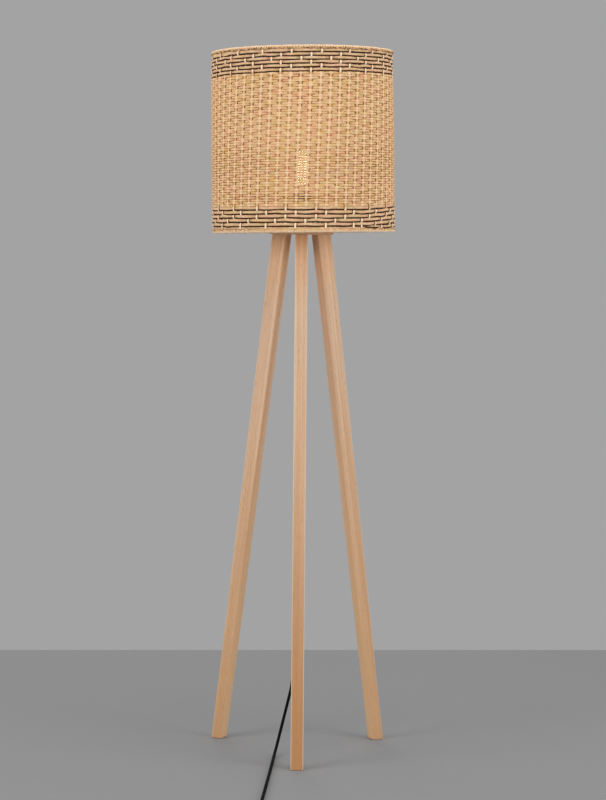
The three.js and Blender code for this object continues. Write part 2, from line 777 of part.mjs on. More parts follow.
const lowerRowPoints = darkRowPoints(lowerRowHeight, lowerRowPitch, lowerRows, lowerRowsStart);
const upperRowPoints = darkRowPoints(upperRowHeight, upperRowPitch, upperRows, upperRowsStart);
add('shade_weave', sleeve(weaveOuter, weaveInner, weaveBottom, weaveTop, stakeCount), straw);
add('shade_stakes', stakesGeometry(), strawPale);
add('shade_dark_rows_lower', darkRowGeometry(lowerRowPoints), darkCord);
add('shade_dark_rows_upper', darkRowGeometry(upperRowPoints), darkCord);
add('shade_border_lower', borderGeometry(shadeBottom), straw);
add('shade_border_upper', borderGeometry(shadeTop - borderHeight), straw);
add('shade_ring_lower', wireRing(lowerRingHeight), blackSteel);
add('shade_ring_upper', wireRing(upperRingHeight), blackSteel);
add('shade_spider', spiderGeometry(), blackSteel);
console.log(`least gap of a dark row to itself: ${
	leastGap(upperRowPoints, rowFacets, darkRowHeight).toFixed(2)} mm`);

// Coil: two layers that spiral in and out again
const coilPitch = cordDiameter + coilGap;
const coilClimbTurns = 0.5; // stretch in which the cord climbs to the upper layer
const coilInner = coilMeanRadius - coilTurnsPerLayer / 2 * coilPitch;
const coilBase = cordDiameter / 2 + tieThickness + fit + floorGap;
const coilStart = -Math.PI / 2;

// A point on the coil's middle line after a number of turns.
function coilPoint(turns) {
	const fromReversal = turns - coilTurnsPerLayer;
	const radius = coilInner + coilPitch * Math.abs(fromReversal);
	const climb = THREE.MathUtils.clamp(fromReversal / coilClimbTurns + 1 / 2, 0, 1);
	const angle = coilStart + turns * 2 * Math.PI;
	return new THREE.Vector3(coilCentre.x + radius * Math.cos(angle), coilCentre.y + radius * Math.sin(angle),
		coilBase + coilPitch * climb);
}

function coilPoints() {
	const turns = 2 * coilTurnsPerLayer;
	const steps = Math.round(turns * coilSteps);
	const middle = Array.from({ length: steps + 1 }, (_, i) => coilPoint(turns * i / steps));
	const lead = new THREE.Vector3(cordDiameter, 0, 0); // both ends run straight along X
	return [middle[0].clone().sub(lead), ...middle, middle[steps].clone().add(lead)];
}

// The tie wraps the bundle of turns where they pass one angle.
function tieGeometry() {
	const bundle = (coilTurnsPerLayer - coilClimbTurns) * coilPitch;
	const across = bundle + cordDiameter + 2 * tieSlack;
	const high = coilPitch + cordDiameter + 2 * fit;
	const outline = (grow) => roundedRectangle(across + 2 * grow, high + 2 * grow, cordDiameter / 2 + grow, 3);
	const middleHeight = coilBase + coilPitch / 2;
	return prism(outline(tieThickness), -tieWidth / 2, tieWidth / 2, outline(0))
		.rotateX(Math.PI / 2).translate(coilInner + bundle / 2, 0, middleHeight)
		.rotateZ(tieAngle).translate(coilCentre.x, coilCentre.y, 0);
}

const coil = coilPoints();
add('cord_coil', windingTube(coil, cordDiameter / 2, coilSides), blackRubber);
add('cord_tie', tieGeometry(), blackPlastic);
console.log(`least gap of the coil to itself: ${leastGap(coil, coilSteps, cordDiameter).toFixed(2)} mm`);

// Foot switch on the cord
const switchFarY = switchNearY - switchLength;
const switchMiddle = new THREE.Vector2(switchEndX, (switchNearY + switchFarY) / 2);
const switchCordHeight = switchBaseHeight + cordHole;
const coverBottom = switchBaseHeight + fit;
const flangeTop = switchHeight - switchWall - fit;
const buttonBottom = flangeTop - buttonFlangeHeight;

// A stadium outline along Y.
function stadium(length, width) {
	return roundedRectangle(width, length, width / 2 - fit, 6);
}

const atHeight = (outline, height) => outline.map(({ x, y }) => new THREE.Vector3(x, y, height));

function switchCoverGeometry() {
	const shoulder = switchHeight - switchShoulder;
	const outer = loft([
		atHeight(stadium(switchLength, switchWidth), coverBottom),
		atHeight(stadium(switchLength, switchWidth), shoulder),
		atHeight(stadium(switchLength - switchShoulder / 2, switchWidth - switchShoulder / 2),
			shoulder + switchShoulder * 2 / 3),
		atHeight(stadium(switchLength - switchShoulder * 2, switchWidth - switchShoulder * 2), switchHeight),
	]);
	const inside = 2 * switchWall;
	const hollow = loft([
		atHeight(stadium(switchLength - inside, switchWidth - inside), coverBottom - overrun),
		atHeight(stadium(switchLength - inside, switchWidth - inside), shoulder),
		atHeight(stadium(switchLength - inside - switchShoulder, switchWidth - inside - switchShoulder),
			switchHeight - switchWall),
	]);
	const opening = cylinder(buttonDiameter / 2 + fit, shoulder, switchHeight + overrun, roundFacets);
	const cordWay = new THREE.CylinderGeometry(cordHole, cordHole, switchLength + 2 * overrun, smallFacets)
		.translate(0, 0, switchCordHeight);
	const bosses = screwPlaces(cylinder(screwBossDiameter / 2, coverBottom, shoulder + switchWall, smallFacets));
	const holes = screwPlaces(cylinder(screwDiameter / 2 + fit, coverBottom - overrun,
		screwHeadHeight + screwLength + 2 * fit, smallFacets));
	return cut(join(cut(outer, hollow, opening, cordWay), ...bosses), ...holes);
}

// Copies of a shape at the two screws, which stand across the switch from each other.
function screwPlaces(shape) {
	const along = switchLength / 2 - screwFromEnd;
	return [1, -1].map((side) => shape.clone().translate(side * screwFromMiddle, side * along, 0));
}

function switchBaseGeometry() {
	const plate = prism(stadium(switchLength, switchWidth), 0, switchBaseHeight);
	const post = cylinder(postDiameter / 2, switchBaseHeight / 2, switchBaseHeight + postHeight, smallFacets);
	const shanks = screwPlaces(cylinder(screwDiameter / 2 + fit, -overrun, switchBaseHeight + overrun,
		smallFacets));
	const heads = screwPlaces(cylinder(screwHeadDiameter / 2 + fit, -overrun, screwHeadHeight + 2 * fit,
		smallFacets));
	return cut(join(plate, post), ...shanks, ...heads);
}

function screwGeometry() {
	const head = cylinder(screwHeadDiameter / 2, fit, fit + screwHeadHeight, smallFacets);
	const shank = cylinder(screwDiameter / 2, fit + screwHeadHeight / 2, fit + screwHeadHeight + screwLength,
		smallFacets);
	const slot = new THREE.BoxGeometry(screwHeadDiameter + overrun, screwSlotWidth, screwHeadHeight)
		.translate(0, 0, fit);
	return cut(join(head, shank), slot);
}

function buttonGeometry() {
	const [outside, flange] = [buttonDiameter / 2, buttonDiameter / 2 + buttonFlange];
	const top = switchHeight + buttonRiseWhenPressed + buttonTravel;
	return revolve([
		[0, buttonBottom],
		[flange, buttonBottom],
		[flange, flangeTop],
		[outside, flangeTop],
		[outside, top - 2 * buttonEdge],
		[outside - buttonEdge, top - buttonEdge],
		[outside / 2, top],
		[0, top],
	], roundFacets);
}

function springPoints() {
	const radius = (springDiameter - springWire) / 2;
	const bottom = switchBaseHeight + fit + springWire / 2;
	const rise = buttonBottom - fit - springWire / 2 - bottom;
	const steps = springTurns * springSteps;
	return Array.from({ length: steps + 1 }, (_, i) => {
		const angle = i * 2 * Math.PI / springSteps;
		return new THREE.Vector3(radius * Math.cos(angle), radius * Math.sin(angle), bottom + rise * i / steps);
	});
}

const footSwitch = new THREE.Group();
footSwitch.position.set(switchMiddle.x, switchMiddle.y, 0);
lamp.add(footSwitch);
const spring = springPoints();
add('switch_base', switchBaseGeometry(), blackPlastic, footSwitch);
add('switch_cover', switchCoverGeometry(), blackPlastic, footSwitch);
add('switch_button', buttonGeometry(), blackPlastic, footSwitch);
add('switch_spring', windingTube(spring, springWire / 2, springSides), zincSteel, footSwitch);
for (const [i, screw] of screwPlaces(screwGeometry()).entries()) {
	add(`switch_screw_${i + 1}`, screw, zincSteel, footSwitch);
}
console.log(`least gap of the spring to itself: ${leastGap(spring, springSteps, springWire).toFixed(2)} mm`);

// Plug, lying on the floor with its pins along X
const plugBack = plugCentre.x - plugLength / 2;
const plugFront = plugCentre.x + plugLength / 2;
const plugHeight = plugThickness / 2 + floorGap;
const reliefTip = plugBack - plugReliefLength;

// Sections across X: [share of the length, share of the width, share of the thickness].
const plugSectionShares = [[0, 0.46, 0.76], [0.14, 0.54, 0.84], [0.42, 0.94, 1], [0.56, 1, 1], [0.92, 1, 1],
	[1, 0.9, 0.84]];

function plugGeometry() {
	const body = loft(plugSectionShares.map(([along, wide, thick]) =>
		roundedRectangle(plugWidth * wide, plugThickness * thick, plugNoseRound, 3).map(({ x, y }) =>
			new THREE.Vector3(plugBack + plugLength * along, plugCentre.y + x, plugHeight + y))));
	const relief = revolve([
		[0, 0],
		[plugReliefTip / 2, 0],
		[plugReliefDiameter / 2, plugReliefLength],
		[plugReliefDiameter / 2, plugReliefLength + overrun],
		[0, plugReliefLength + overrun],
	], smallFacets).rotateY(Math.PI / 2).translate(reliefTip, plugCentre.y, plugHeight);
	return join(body, relief);
}

function pinGeometry(side) {
	const radius = pinDiameter / 2;
	const tip = pinLength - radius / 2;
	return revolve([[0, fit], [radius, fit], [radius, tip], [radius / 2, pinLength], [0, pinLength]],
		smallFacets).rotateY(Math.PI / 2)
		.translate(plugFront, plugCentre.y + side * pinSpacing / 2, plugHeight);
}

add('plug_body', plugGeometry(), blackPlastic);
add('plug_pin_left', pinGeometry(1), zincSteel);
add('plug_pin_right', pinGeometry(-1), zincSteel);

// Cord: its free stretches, as points chosen by hand between the pieces that they meet
const floorHeight = cordDiameter / 2 + floorGap;
const exitHeight = gripBottom - fit;
const coilEntry = coil[0];
const coilExit = coil[coil.length - 1];
const at = (x, y, z) => new THREE.Vector3(x, y, z);

const leadPoints = [
	at(0, 0, exitHeight),
	at(0, 0, exitHeight - 2 * cordDiameter),
	at(0.5, 0, 980),
	at(1, 0, 860),
	at(1, 0, 720),
	at(0.5, 0.5, 580),
	at(-1, 0.5, 450),
	at(-3, 0, 340),
	at(-5.5, -1, 250),
	at(-8.8, -1, 185),
	at(-12.6, -1.5, 143),
	at(-19.3, -5, 112),
	at(-25.5, -10, 87),
	at(-31.4, -18, 64),
	at(-37.7, -32, 40),
	at(-43.5, -52, 20),
	at(-47.5, -77, 8.6),
	at(-50, -104, 4.1),
	at(-51.8, -140, floorHeight),
	at(-55, -208, floorHeight),
	at(-59.5, -300, floorHeight),
	at(-64, -390, floorHeight),
	at(-68.4, -482, floorHeight),
	at(-68.6, -520, floorHeight),
	at(-67.4, -546, floorHeight),
	at(-66.3, -564, 5.2),
	at(switchEndX, switchNearY + cordDiameter, switchCordHeight),
	at(switchEndX, switchNearY - switchCordEntry, switchCordHeight),
];
const tailPoints = [
	at(switchEndX, switchFarY + switchCordEntry, switchCordHeight),
	at(switchEndX, switchFarY - cordDiameter / 2, switchCordHeight),
	at(-64, -695.5, 5.6),
	at(-58, -704.5, 4.1),
	at(-49.3, -709.9, floorHeight),
	at(-39, -712, floorHeight),
	at(-20, -712.2, floorHeight),
	at(-2, -711.9, 4.2),
	at(coilEntry.x - 2 * cordDiameter, coilEntry.y, coilEntry.z),
	at(coilEntry.x - fit, coilEntry.y, coilEntry.z),
];
const endPoints = [
	at(coilExit.x + fit, coilExit.y, coilExit.z),
	at(coilExit.x + cordDiameter, coilExit.y, coilExit.z),
	at(54, -711.9, 10.6),
	at(66, -712, 8),
	at(reliefTip - cordDiameter, plugCentre.y, plugHeight),
	at(reliefTip - fit, plugCentre.y, plugHeight),
];
add('cord_lead', cordTube(leadPoints, cordDiameter, cordSides, 62), blackRubber);
add('cord_tail', cordTube(tailPoints, cordDiameter, cordSides, 10), blackRubber);
add('cord_end', cordTube(endPoints, cordDiameter, cordSides, 6), blackRubber);

lamp.name = 'floor_lamp';
export default lamp;
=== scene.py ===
"""Rattan floor lamp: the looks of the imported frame, from the photograph's viewing angle.

Shapes are written in millimetres, in the frame of the CAD model, and become metres in the meshes.
"""
import math

import bpy
import numpy as np
from mathutils import Matrix, Vector


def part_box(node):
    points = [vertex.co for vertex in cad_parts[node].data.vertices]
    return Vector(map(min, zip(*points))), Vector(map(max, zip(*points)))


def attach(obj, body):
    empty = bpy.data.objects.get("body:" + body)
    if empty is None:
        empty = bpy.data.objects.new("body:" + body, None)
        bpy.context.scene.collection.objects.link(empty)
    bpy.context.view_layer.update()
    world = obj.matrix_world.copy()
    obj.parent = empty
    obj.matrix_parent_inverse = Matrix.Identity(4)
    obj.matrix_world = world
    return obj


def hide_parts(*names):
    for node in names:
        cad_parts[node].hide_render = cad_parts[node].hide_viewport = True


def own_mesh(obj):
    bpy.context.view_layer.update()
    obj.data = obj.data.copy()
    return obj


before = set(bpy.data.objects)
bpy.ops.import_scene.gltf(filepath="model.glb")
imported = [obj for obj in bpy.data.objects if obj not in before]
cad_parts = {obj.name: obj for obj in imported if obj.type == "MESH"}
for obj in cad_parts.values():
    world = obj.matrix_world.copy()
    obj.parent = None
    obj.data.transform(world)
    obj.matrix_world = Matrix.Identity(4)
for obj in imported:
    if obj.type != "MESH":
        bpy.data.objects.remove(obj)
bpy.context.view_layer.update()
rng = np.random.default_rng(58)
TAU = 2 * math.pi
MM = 0.001
UP = (0, 0, 1)


# Small helpers

def unit(vectors):
    return vectors / np.linalg.norm(vectors, axis=-1, keepdims=True)


def smooth(share):
    """From 0 to 1, level at both ends."""
    share = np.clip(share, 0, 1)
    return share * share * (3 - 2 * share)


def near(value, centre, reach):
    """1 at the centre, falling to 0 over a reach on both sides of it."""
    return np.exp(-((value - centre) / reach) ** 2)


def eased(where, states, flat, ends="clip"):
    """Goes smoothly from one crossing's value to the next, level near each crossing."""
    low = np.floor(where).astype(int)
    share = smooth((where - low - flat) / (1 - 2 * flat))
    return np.take(states, low, mode=ends) * (1 - share) + np.take(states, low + 1, mode=ends) * share


def box_mm(node):
    """A CAD node's lowest and highest corner."""
    return (np.array(corner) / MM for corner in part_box(node))


def about_z(points, degrees):
    """Points turned about Z."""
    c, s = math.cos(math.radians(degrees)), math.sin(math.radians(degrees))
    return points @ np.array([[c, s, 0], [-s, c, 0], [0, 0, 1]])


def add_object(name, data):
    made = bpy.data.objects.new(name, data)
    bpy.context.scene.collection.objects.link(made)
    return made


# Shape helpers

def directions(path, closed=False):
    """The unit tangent at each point of a path."""
    if closed:
        return unit(np.roll(path, -1, 0) - np.roll(path, 1, 0))
    return unit(np.gradient(path, axis=0))


def lengths(path):
    """The distance along a path at each of its points."""
    return np.concatenate([[0], np.cumsum(np.linalg.norm(np.diff(path, axis=0), axis=1))])


def oval(sides, squareness=1.0):
    """Corner factors of a section: cosines and sines, pushed outward where squareness is below 1."""
    angle = (np.arange(sides) + 0.5) * TAU / sides
    c, s = np.cos(angle), np.sin(angle)
    return np.sign(c) * np.abs(c) ** squareness, np.sign(s) * np.abs(s) ** squareness


def strap(path, half_thick, half_wide, wide_way, sides=8, closed=False, squareness=0.75):
    """Rings of a flat strand whose width stays along wide_way."""
    along = directions(path, closed)
    thick_way = unit(np.cross(along, np.broadcast_to(wide_way, path.shape)))
    wide = np.cross(thick_way, along)
    c, s = oval(sides, squareness)
    thick = np.broadcast_to(half_thick, len(path))[:, None] * c
    high = np.broadcast_to(half_wide, len(path))[:, None] * s
    return path[:, None] + thick_way[:, None] * thick[..., None] + wide[:, None] * high[..., None]


def tube(path, radius, sides=12):
    """Rings of a round tube, carried along the path so that it doesn't twist."""
    along = directions(path)
    side = [unit(np.cross(along[0], (0.3, 0.9, 0.2)))]
    for tangent in along[1:]:
        side.append(unit(side[-1] - tangent * np.dot(side[-1], tangent)))
    side = np.array(side)
    other = np.cross(along, side)
    c, s = oval(sides)
    radius = np.broadcast_to(radius, len(path))[:, None]
    return path[:, None] + side[:, None] * (radius * c)[..., None] + other[:, None] * (radius * s)[..., None]


def centripetal(points, per_stretch):
    """A smooth centripetal curve through points."""
    p = np.asarray(points, float)
    p = np.vstack([2 * p[0] - p[1], p, 2 * p[-1] - p[-2]])
    out = []
    for a, b, c, d in zip(p[:-3], p[1:-2], p[2:-1], p[3:]):
        before, here, after = (np.linalg.norm(q - r) ** 0.5 for q, r in ((b, a), (c, b), (d, c)))
        leave = ((b - a) / before - (c - a) / (before + here) + (c - b) / here) * here
        arrive = ((c - b) / here - (d - b) / (here + after) + (d - c) / after) * here
        for t in np.arange(per_stretch) / per_stretch:
            out.append(b + leave * t + (3 * (c - b) - 2 * leave - arrive) * t ** 2
                       + (2 * (b - c) + leave + arrive) * t ** 3)
    return np.array([*out, p[-2]])


def lathe(profile, segments):
    """Rings of a turned shape about Z, one for each step round it, from [radius, height] pairs."""
    radius, height = np.transpose(profile)
    angle = np.arange(segments)[:, None] * TAU / segments
    return np.stack([radius * np.cos(angle), radius * np.sin(angle), height + 0 * angle], -1)


def turned(profile, segments):
    """Rings of a turned solid, from its bottom to its top, closed by small flat ends."""
    profile = [[max(radius, 0.02), height] for radius, height in profile]
    return lathe(profile, segments).transpose(1, 0, 2)


def arc(centre, radius, start, end, steps):
    """Points [x, y] on an arc, its angles in degrees."""
    angle = np.radians(np.linspace(start, end, steps))
    return np.column_stack([centre[0] + radius * np.cos(angle), centre[1] + radius * np.sin(angle)])


def rounded_rectangle(width, depth, radius, steps):
    x, y = width / 2 - radius, depth / 2 - radius
    corners = ((x, y), (-x, y), (-x, -y), (x, -y))
    return np.vstack([arc(corner, radius, quarter * 90, quarter * 90 + 90, steps)
                      for quarter, corner in enumerate(corners)])


def level(outline, height):
    """A level ring of points from an outline."""
    return np.insert(outline, 2, height, axis=1)


class Skin:
    """One mesh gathered from shells, with coordinates that its material reads."""

    def __init__(self):
        self.points, self.faces, self.coords, self.count = [], [], [], 0

    def shell(self, rings, coords=None, closed=False):
        """Adds a shell through rings of points, with end caps unless it closes on itself."""
        n, m = rings.shape[:2]
        index = np.arange(n * m).reshape(n, m)
        here, after = (index, np.roll(index, -1, 0)) if closed else (index[:-1], index[1:])
        quads = np.stack([here, np.roll(here, -1, 1), np.roll(after, -1, 1), after], -1).reshape(-1, 4)
        flat = rings.reshape(-1, 3)
        centred = flat - flat.mean(0)
        a, b, c, d = (centred[quads[:, i]] for i in range(4))
        volume = (a * np.cross(b, c)).sum() + (a * np.cross(c, d)).sum()
        ends = [] if closed else [index[0][::-1], index[-1]]
        for cap in ends:
            fan = centred[cap]
            volume += (fan[0] * np.cross(fan[1:-1], fan[2:])).sum()
        faces = quads.tolist() + [cap.tolist() for cap in ends]
        if volume < 0:
            faces = [face[::-1] for face in faces]
        self.faces += [[self.count + i for i in face] for face in faces]
        self.points.append(flat)
        spread = flat * MM if coords is None else np.broadcast_to(coords, rings.shape).reshape(-1, 3)
        self.coords.append(spread)
        self.count += n * m
        return self

    def strand(self, rings, closed=False, value=None):
        """Adds a strand. Its coordinates are metres along it, its side from -1 to 1, and a value."""
        n, m = rings.shape[:2]
        coords = np.empty(rings.shape)
        coords[..., 0] = lengths(rings.mean(1))[:, None] * MM
        coords[..., 1] = oval(m, 0.75)[1]
        coords[..., 2] = rng.random() if value is None else np.asarray(value)[:, None]
        return self.shell(rings, coords, closed)

    def build(self, name, material, slot, replaces="", body="stand", sharp=40.0):
        """Makes the piece: sharp is the angle in degrees from which edges stay sharp."""
        mesh = bpy.data.meshes.new(name)
        mesh.from_pydata((np.concatenate(self.points) * MM).tolist(), [], self.faces)
        place = mesh.attributes.new("place", "FLOAT_VECTOR", "POINT")
        place.data.foreach_set("vector", np.concatenate(self.coords).astype(np.float32).ravel())
        mesh.shade_smooth()
        mesh.set_sharp_from_angle(angle=math.radians(sharp))
        mesh.materials.append(material)
        piece = add_object(name, mesh)
        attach(piece, body)
        if replaces:
            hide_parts(*replaces.split())
        return piece


# Material helpers

def tone(red, green, blue):
    """Linear colour from a display colour of 0 to 255."""
    return tuple(v / 12.92 if v <= 0.04045 else ((v + 0.055) / 1.055) ** 2.4
                 for v in (red / 255, green / 255, blue / 255)) + (1.0,)


def tones(*stops):
    """Stops of a colour ramp, each written as its place and a display colour."""
    return [(place, tone(*colour)) for place, *colour in stops]


def scaled(colour, factor):
    """A linear colour made lighter or darker."""
    return tuple(min(1, channel * factor) for channel in colour[:3]) + (1,)


class Finish:
    """A procedural material: its shader with short calls for the nodes that feed it."""

    def __init__(self, name, **settings):
        self.material = bpy.data.materials.new(name)
        self.material.use_nodes = True
        self.tree = self.material.node_tree
        self.shader = self.tree.nodes["Principled BSDF"]
        for socket, value in settings.items():
            self.shader.inputs[socket.replace("_", " ")].default_value = value

    def node(self, kind, inputs=(), **settings):
        made = self.tree.nodes.new("ShaderNode" + kind)
        for key, value in settings.items():
            setattr(made, key, value)
        for key, value in dict(inputs).items():
            if isinstance(value, bpy.types.NodeSocket):
                self.tree.links.new(value, made.inputs[key])
            else:
                made.inputs[key].default_value = value
        return made

    def place(self):
        """The coordinates that a piece's mesh holds."""
        return self.node("Attribute", attribute_name="place").outputs["Vector"]

    def spot(self):
        """The point in the lamp's own frame, in metres."""
        return self.node("TexCoord").outputs["Object"]

    def axes(self, vector):
        return self.node("SeparateXYZ", {0: vector}).outputs

    def stretched(self, vector, scale, offset):
        return self.node("Mapping", {"Vector": vector, "Scale": scale, "Location": offset}).outputs[0]

    def noise(self, vector, scale, detail=3.0, roughness=0.55, distortion=0.0, offset=(0, 0, 0)):
        """Noise at one scale, or at a scale for each axis with an offset."""
        if isinstance(scale, tuple):
            vector, scale = self.stretched(vector, scale, offset), 1.0
        return self.node("TexNoise", {"Vector": vector, "Scale": scale, "Detail": detail,
                                      "Roughness": roughness, "Distortion": distortion}).outputs[0]

    def remap(self, value, low, high, to_low=0.0, to_high=1.0):
        return self.node("MapRange", enumerate((value, low, high, to_low, to_high))).outputs[0]

    def maths(self, operation, a, b=0.5):
        return self.node("Math", {0: a, 1: b}, operation=operation).outputs[0]

    def times(self, a, b):
        return self.maths("MULTIPLY", a, b)

    def ramp(self, factor, stops):
        made = self.node("ValToRGB", {0: factor})
        elements = made.color_ramp.elements
        while len(elements) < len(stops):
            elements.new(0.5)
        for element, (position, colour) in zip(elements, stops):
            element.position, element.color = position, colour
        return made.outputs[0]

    def mix(self, factor, a, b, blend="MIX"):
        return self.node("Mix", {0: factor, 6: a, 7: b}, data_type="RGBA", blend_type=blend).outputs[2]

    def bump(self, height, strength, distance):
        return self.node("Bump", {"Height": height, "Strength": strength, "Distance": distance}).outputs[0]

    def feed(self, **sockets):
        for socket, value in sockets.items():
            self.tree.links.new(value, self.shader.inputs[socket.replace("_", " ")])
        return self.material


def wood(name, pale, warm, deep, top, edges=0.0):
    """Oiled beech, pale above and warm below, with painted light and shade where the legs meet the hub.

    top is that painted tone. edges is how strong a painted highlight on a leg's outer corners is. Its
    coordinates run across it in halves of its width, and its face toward the lamp's axis has painted light
    low down."""
    look = Finish(name, Specular_IOR_Level=0.4)
    place = look.place()
    half = LEG_WIDTH / 2 * MM if edges else 1.0
    grain = look.stretched(place, (half, half, 1.0), (0, 0, 0))
    figure = look.noise(grain, (75, 75, 1.6), 4.0, 0.6, 0.5)
    bands = look.noise(grain, (240, 240, 1.0), 2.0, offset=(3, 1, 7))
    pores = look.noise(grain, (1100, 1100, 26), 3.0, 0.65)
    flecks = look.noise(grain, (620, 620, 80), 1.0, offset=(9, 4, 2))
    fleck_mask = look.remap(flecks, 0.63, 0.72)
    height = look.axes(look.spot())[2]
    colour = look.mix(look.remap(height, 0.95, 0.1), pale, warm)
    # painted light and shade under the shade: the top tone, lighter on the side legs and hub, darker on the
    # front leg
    colour = look.mix(look.remap(height, 0.98, 1.13, 0.0, 0.8), colour, top)
    layers = ((figure, 0.35, 0.72, 0.5), (bands, 0.4, 0.7, 0.3), (pores, 0.45, 0.75, 0.25))
    for layer, low, high, share in layers:
        colour = look.mix(look.remap(layer, low, high, 0.0, share), colour, deep)
    colour = look.mix(look.times(fleck_mask, 0.28), colour, tone(134, 86, 52))
    if edges:
        across = look.axes(place)
        # painted light on the face toward the lamp's axis, low down
        inner_face_light = look.times(look.remap(across[0], -0.9, -0.97), look.remap(height, 0.8, 0.0))
        colour = look.mix(look.times(inner_face_light, 0.45), colour, tone(240, 202, 156))
        # painted highlight along a leg's outer corners
        to_corner = look.maths("MINIMUM", *(look.maths("ABSOLUTE", across[i]) for i in (0, 1)))
        corner = look.remap(to_corner, 0.84, 0.95, 0.0, edges)
        corner = look.times(corner, look.remap(across[0], 0.0, 0.5))
        colour = look.mix(corner, colour, tone(232, 208, 180))
    relief = look.maths("ADD", pores, look.times(fleck_mask, -0.5))
    return look.feed(Base_Color=colour, Roughness=look.remap(pores, 0.3, 0.7, 0.42, 0.6),
                     Normal=look.bump(relief, 0.25, 0.0003))


def straw(name, stops, patch, edge=0.6, high=None, bands=None, gloss=0.22):
    """Split cane or paper strand: tones that change by patches, fine long fibres and painted shade at its
    edges.

    Where high is given, the strand's value above 0 mixes that colour in as a painted highlight and below 0
    mixes in painted shade, and its edges get more painted shade in short strokes, weakest near X = 0 low down
    in front of the bulb and strongest towards both ends of X. edge is how strong the painted edge shade is.
    bands is a cane's colour inside the bands."""
    look = Finish(name, Specular_IOR_Level=gloss)
    place = look.place()
    spot = look.spot()
    parts = look.axes(place)
    where = look.axes(spot)
    patches = look.noise(spot, patch, 2.0, 0.6)
    own = look.ramp(look.remap(patches, 0.3, 0.7), stops)
    areas = look.noise(spot, (42, 42, 60), 2.0, 0.6, offset=(1, 5, 3))
    own = look.mix(1.0, own, look.ramp(look.remap(areas, 0.34, 0.66), AREA_TINTS), "MULTIPLY")
    mottle = look.noise(spot, tuple(3.1 * v for v in patch), 3.0, 0.6, offset=(4, 2, 7))
    threads = look.noise(place, (120, 5, 800), 3.0, 0.6, offset=(5, 0, 3))
    deep = look.mix(1.0, own, tone(205, 160, 110), "MULTIPLY")
    colour = look.mix(look.remap(mottle, 0.4, 0.75, 0.0, 0.5), own, deep)
    colour = look.mix(look.remap(threads, 0.45, 0.8, 0.0, 0.4), colour, deep)
    side = look.maths("ABSOLUTE", parts[1])
    # painted shade along the strand's edges
    rim_shade = look.remap(side, 0.6, 0.94, 0.0, edge)
    if high is not None:
        # painted highlight where the strand's value is above 0, on the parts that stand out
        raised_highlight = look.remap(parts[2], 0.05, 0.9)
        colour = look.mix(raised_highlight, colour, look.mix(0.7, colour, high))
        # painted shade in short strokes along the edges: weaker near X = 0 low down, stronger towards both
        # ends of X
        runs = look.noise(spot, (120, 120, 330), 2.0, 0.6, offset=(2, 6, 1))
        in_front = look.remap(where[2], 1.34, 1.44, 0.35, 1.1)
        strength = look.remap(look.maths("ABSOLUTE", where[0]), 0.05, 0.17, in_front, 1.35)
        shade_dashes = look.times(look.remap(runs, 0.4, 0.62, 0.06, 1.0), strength)
        rim_shade = look.times(look.remap(side, 0.46, 0.84, 0.0, edge), shade_dashes)
        rim_shade = look.times(rim_shade, look.remap(raised_highlight, 0.0, 1.0, 1.0, 0.15))
        # painted shade where the value is below 0, as where a strand goes behind a stake
        hollow_shade = look.times(look.remap(parts[2], -0.2, -0.85), shade_dashes)
        colour = look.mix(look.times(hollow_shade, 0.8), colour, tone(104, 62, 30))
    if bands is not None:
        upper, lower = look.remap(where[2], 1.468, 1.471), look.remap(where[2], 1.1895, 1.1865)
        colour = look.mix(look.maths("MAXIMUM", upper, lower), colour, bands)
    # the painted edge shade darkens the colour
    colour = look.mix(rim_shade, colour, look.mix(1.0, colour, tone(142, 92, 50), "MULTIPLY"))
    return look.feed(Base_Color=colour, Roughness=look.remap(threads, 0.3, 0.7, 0.66, 0.88),
                     Normal=look.bump(threads, 0.5, 0.0004))


def moulded(name, colour, low, high, grain_scale=900.0, strength=0.12, **settings):
    """Moulded plastic, rubber or ceramic: even, with a fine grain and a patchy sheen."""
    look = Finish(name, **settings)
    spot = look.spot()
    grain = look.noise(spot, grain_scale, 2.0)
    patches = look.noise(spot, 35.0, 2.0)
    shade = look.mix(look.remap(patches, 0.3, 0.7), colour, scaled(colour, 1.25))
    return look.feed(Base_Color=shade, Roughness=look.remap(patches, 0.3, 0.7, low, high),
                     Normal=look.bump(grain, strength, 0.0001))


def metal(name, colour, low, high):
    """Drawn or turned metal with faint tool marks."""
    look = Finish(name, Metallic=1.0)
    spot = look.spot()
    marks = look.noise(spot, (900, 900, 60), 2.0)
    dulled = look.noise(spot, 70.0, 3.0)
    shade = look.mix(look.remap(dulled, 0.35, 0.75), colour, scaled(colour, 0.72))
    return look.feed(Base_Color=shade, Roughness=look.remap(dulled, 0.3, 0.7, low, high),
                     Normal=look.bump(marks, 0.1, 0.0001))


def clear_glass():
    look = Finish("glass", Base_Color=(0.1, 0.095, 0.085, 1), Roughness=0.03, Specular_IOR_Level=0.6)
    facing = look.node("LayerWeight", {"Blend": 0.35}).outputs["Facing"]
    return look.feed(Alpha=look.remap(facing, 0.0, 1.0, 0.04, 0.6))


def glowing_wire():
    look = Finish("filament", Base_Color=(1.0, 0.72, 0.36, 1), Emission_Strength=4.0, Roughness=0.6)
    heat = look.noise(look.spot(), 240.0, 2.0)
    return look.feed(Emission_Color=look.mix(heat, (1.0, 0.86, 0.52, 1), (1.0, 0.94, 0.66, 1)))


# Materials

AREA_TINTS = tones((0, 253, 236, 230), (0.3, 255, 247, 241), (0.55, 255, 253, 244), (0.8, 246, 249, 226),
                   (1, 255, 242, 218))
LEG_WIDTH = 27.0
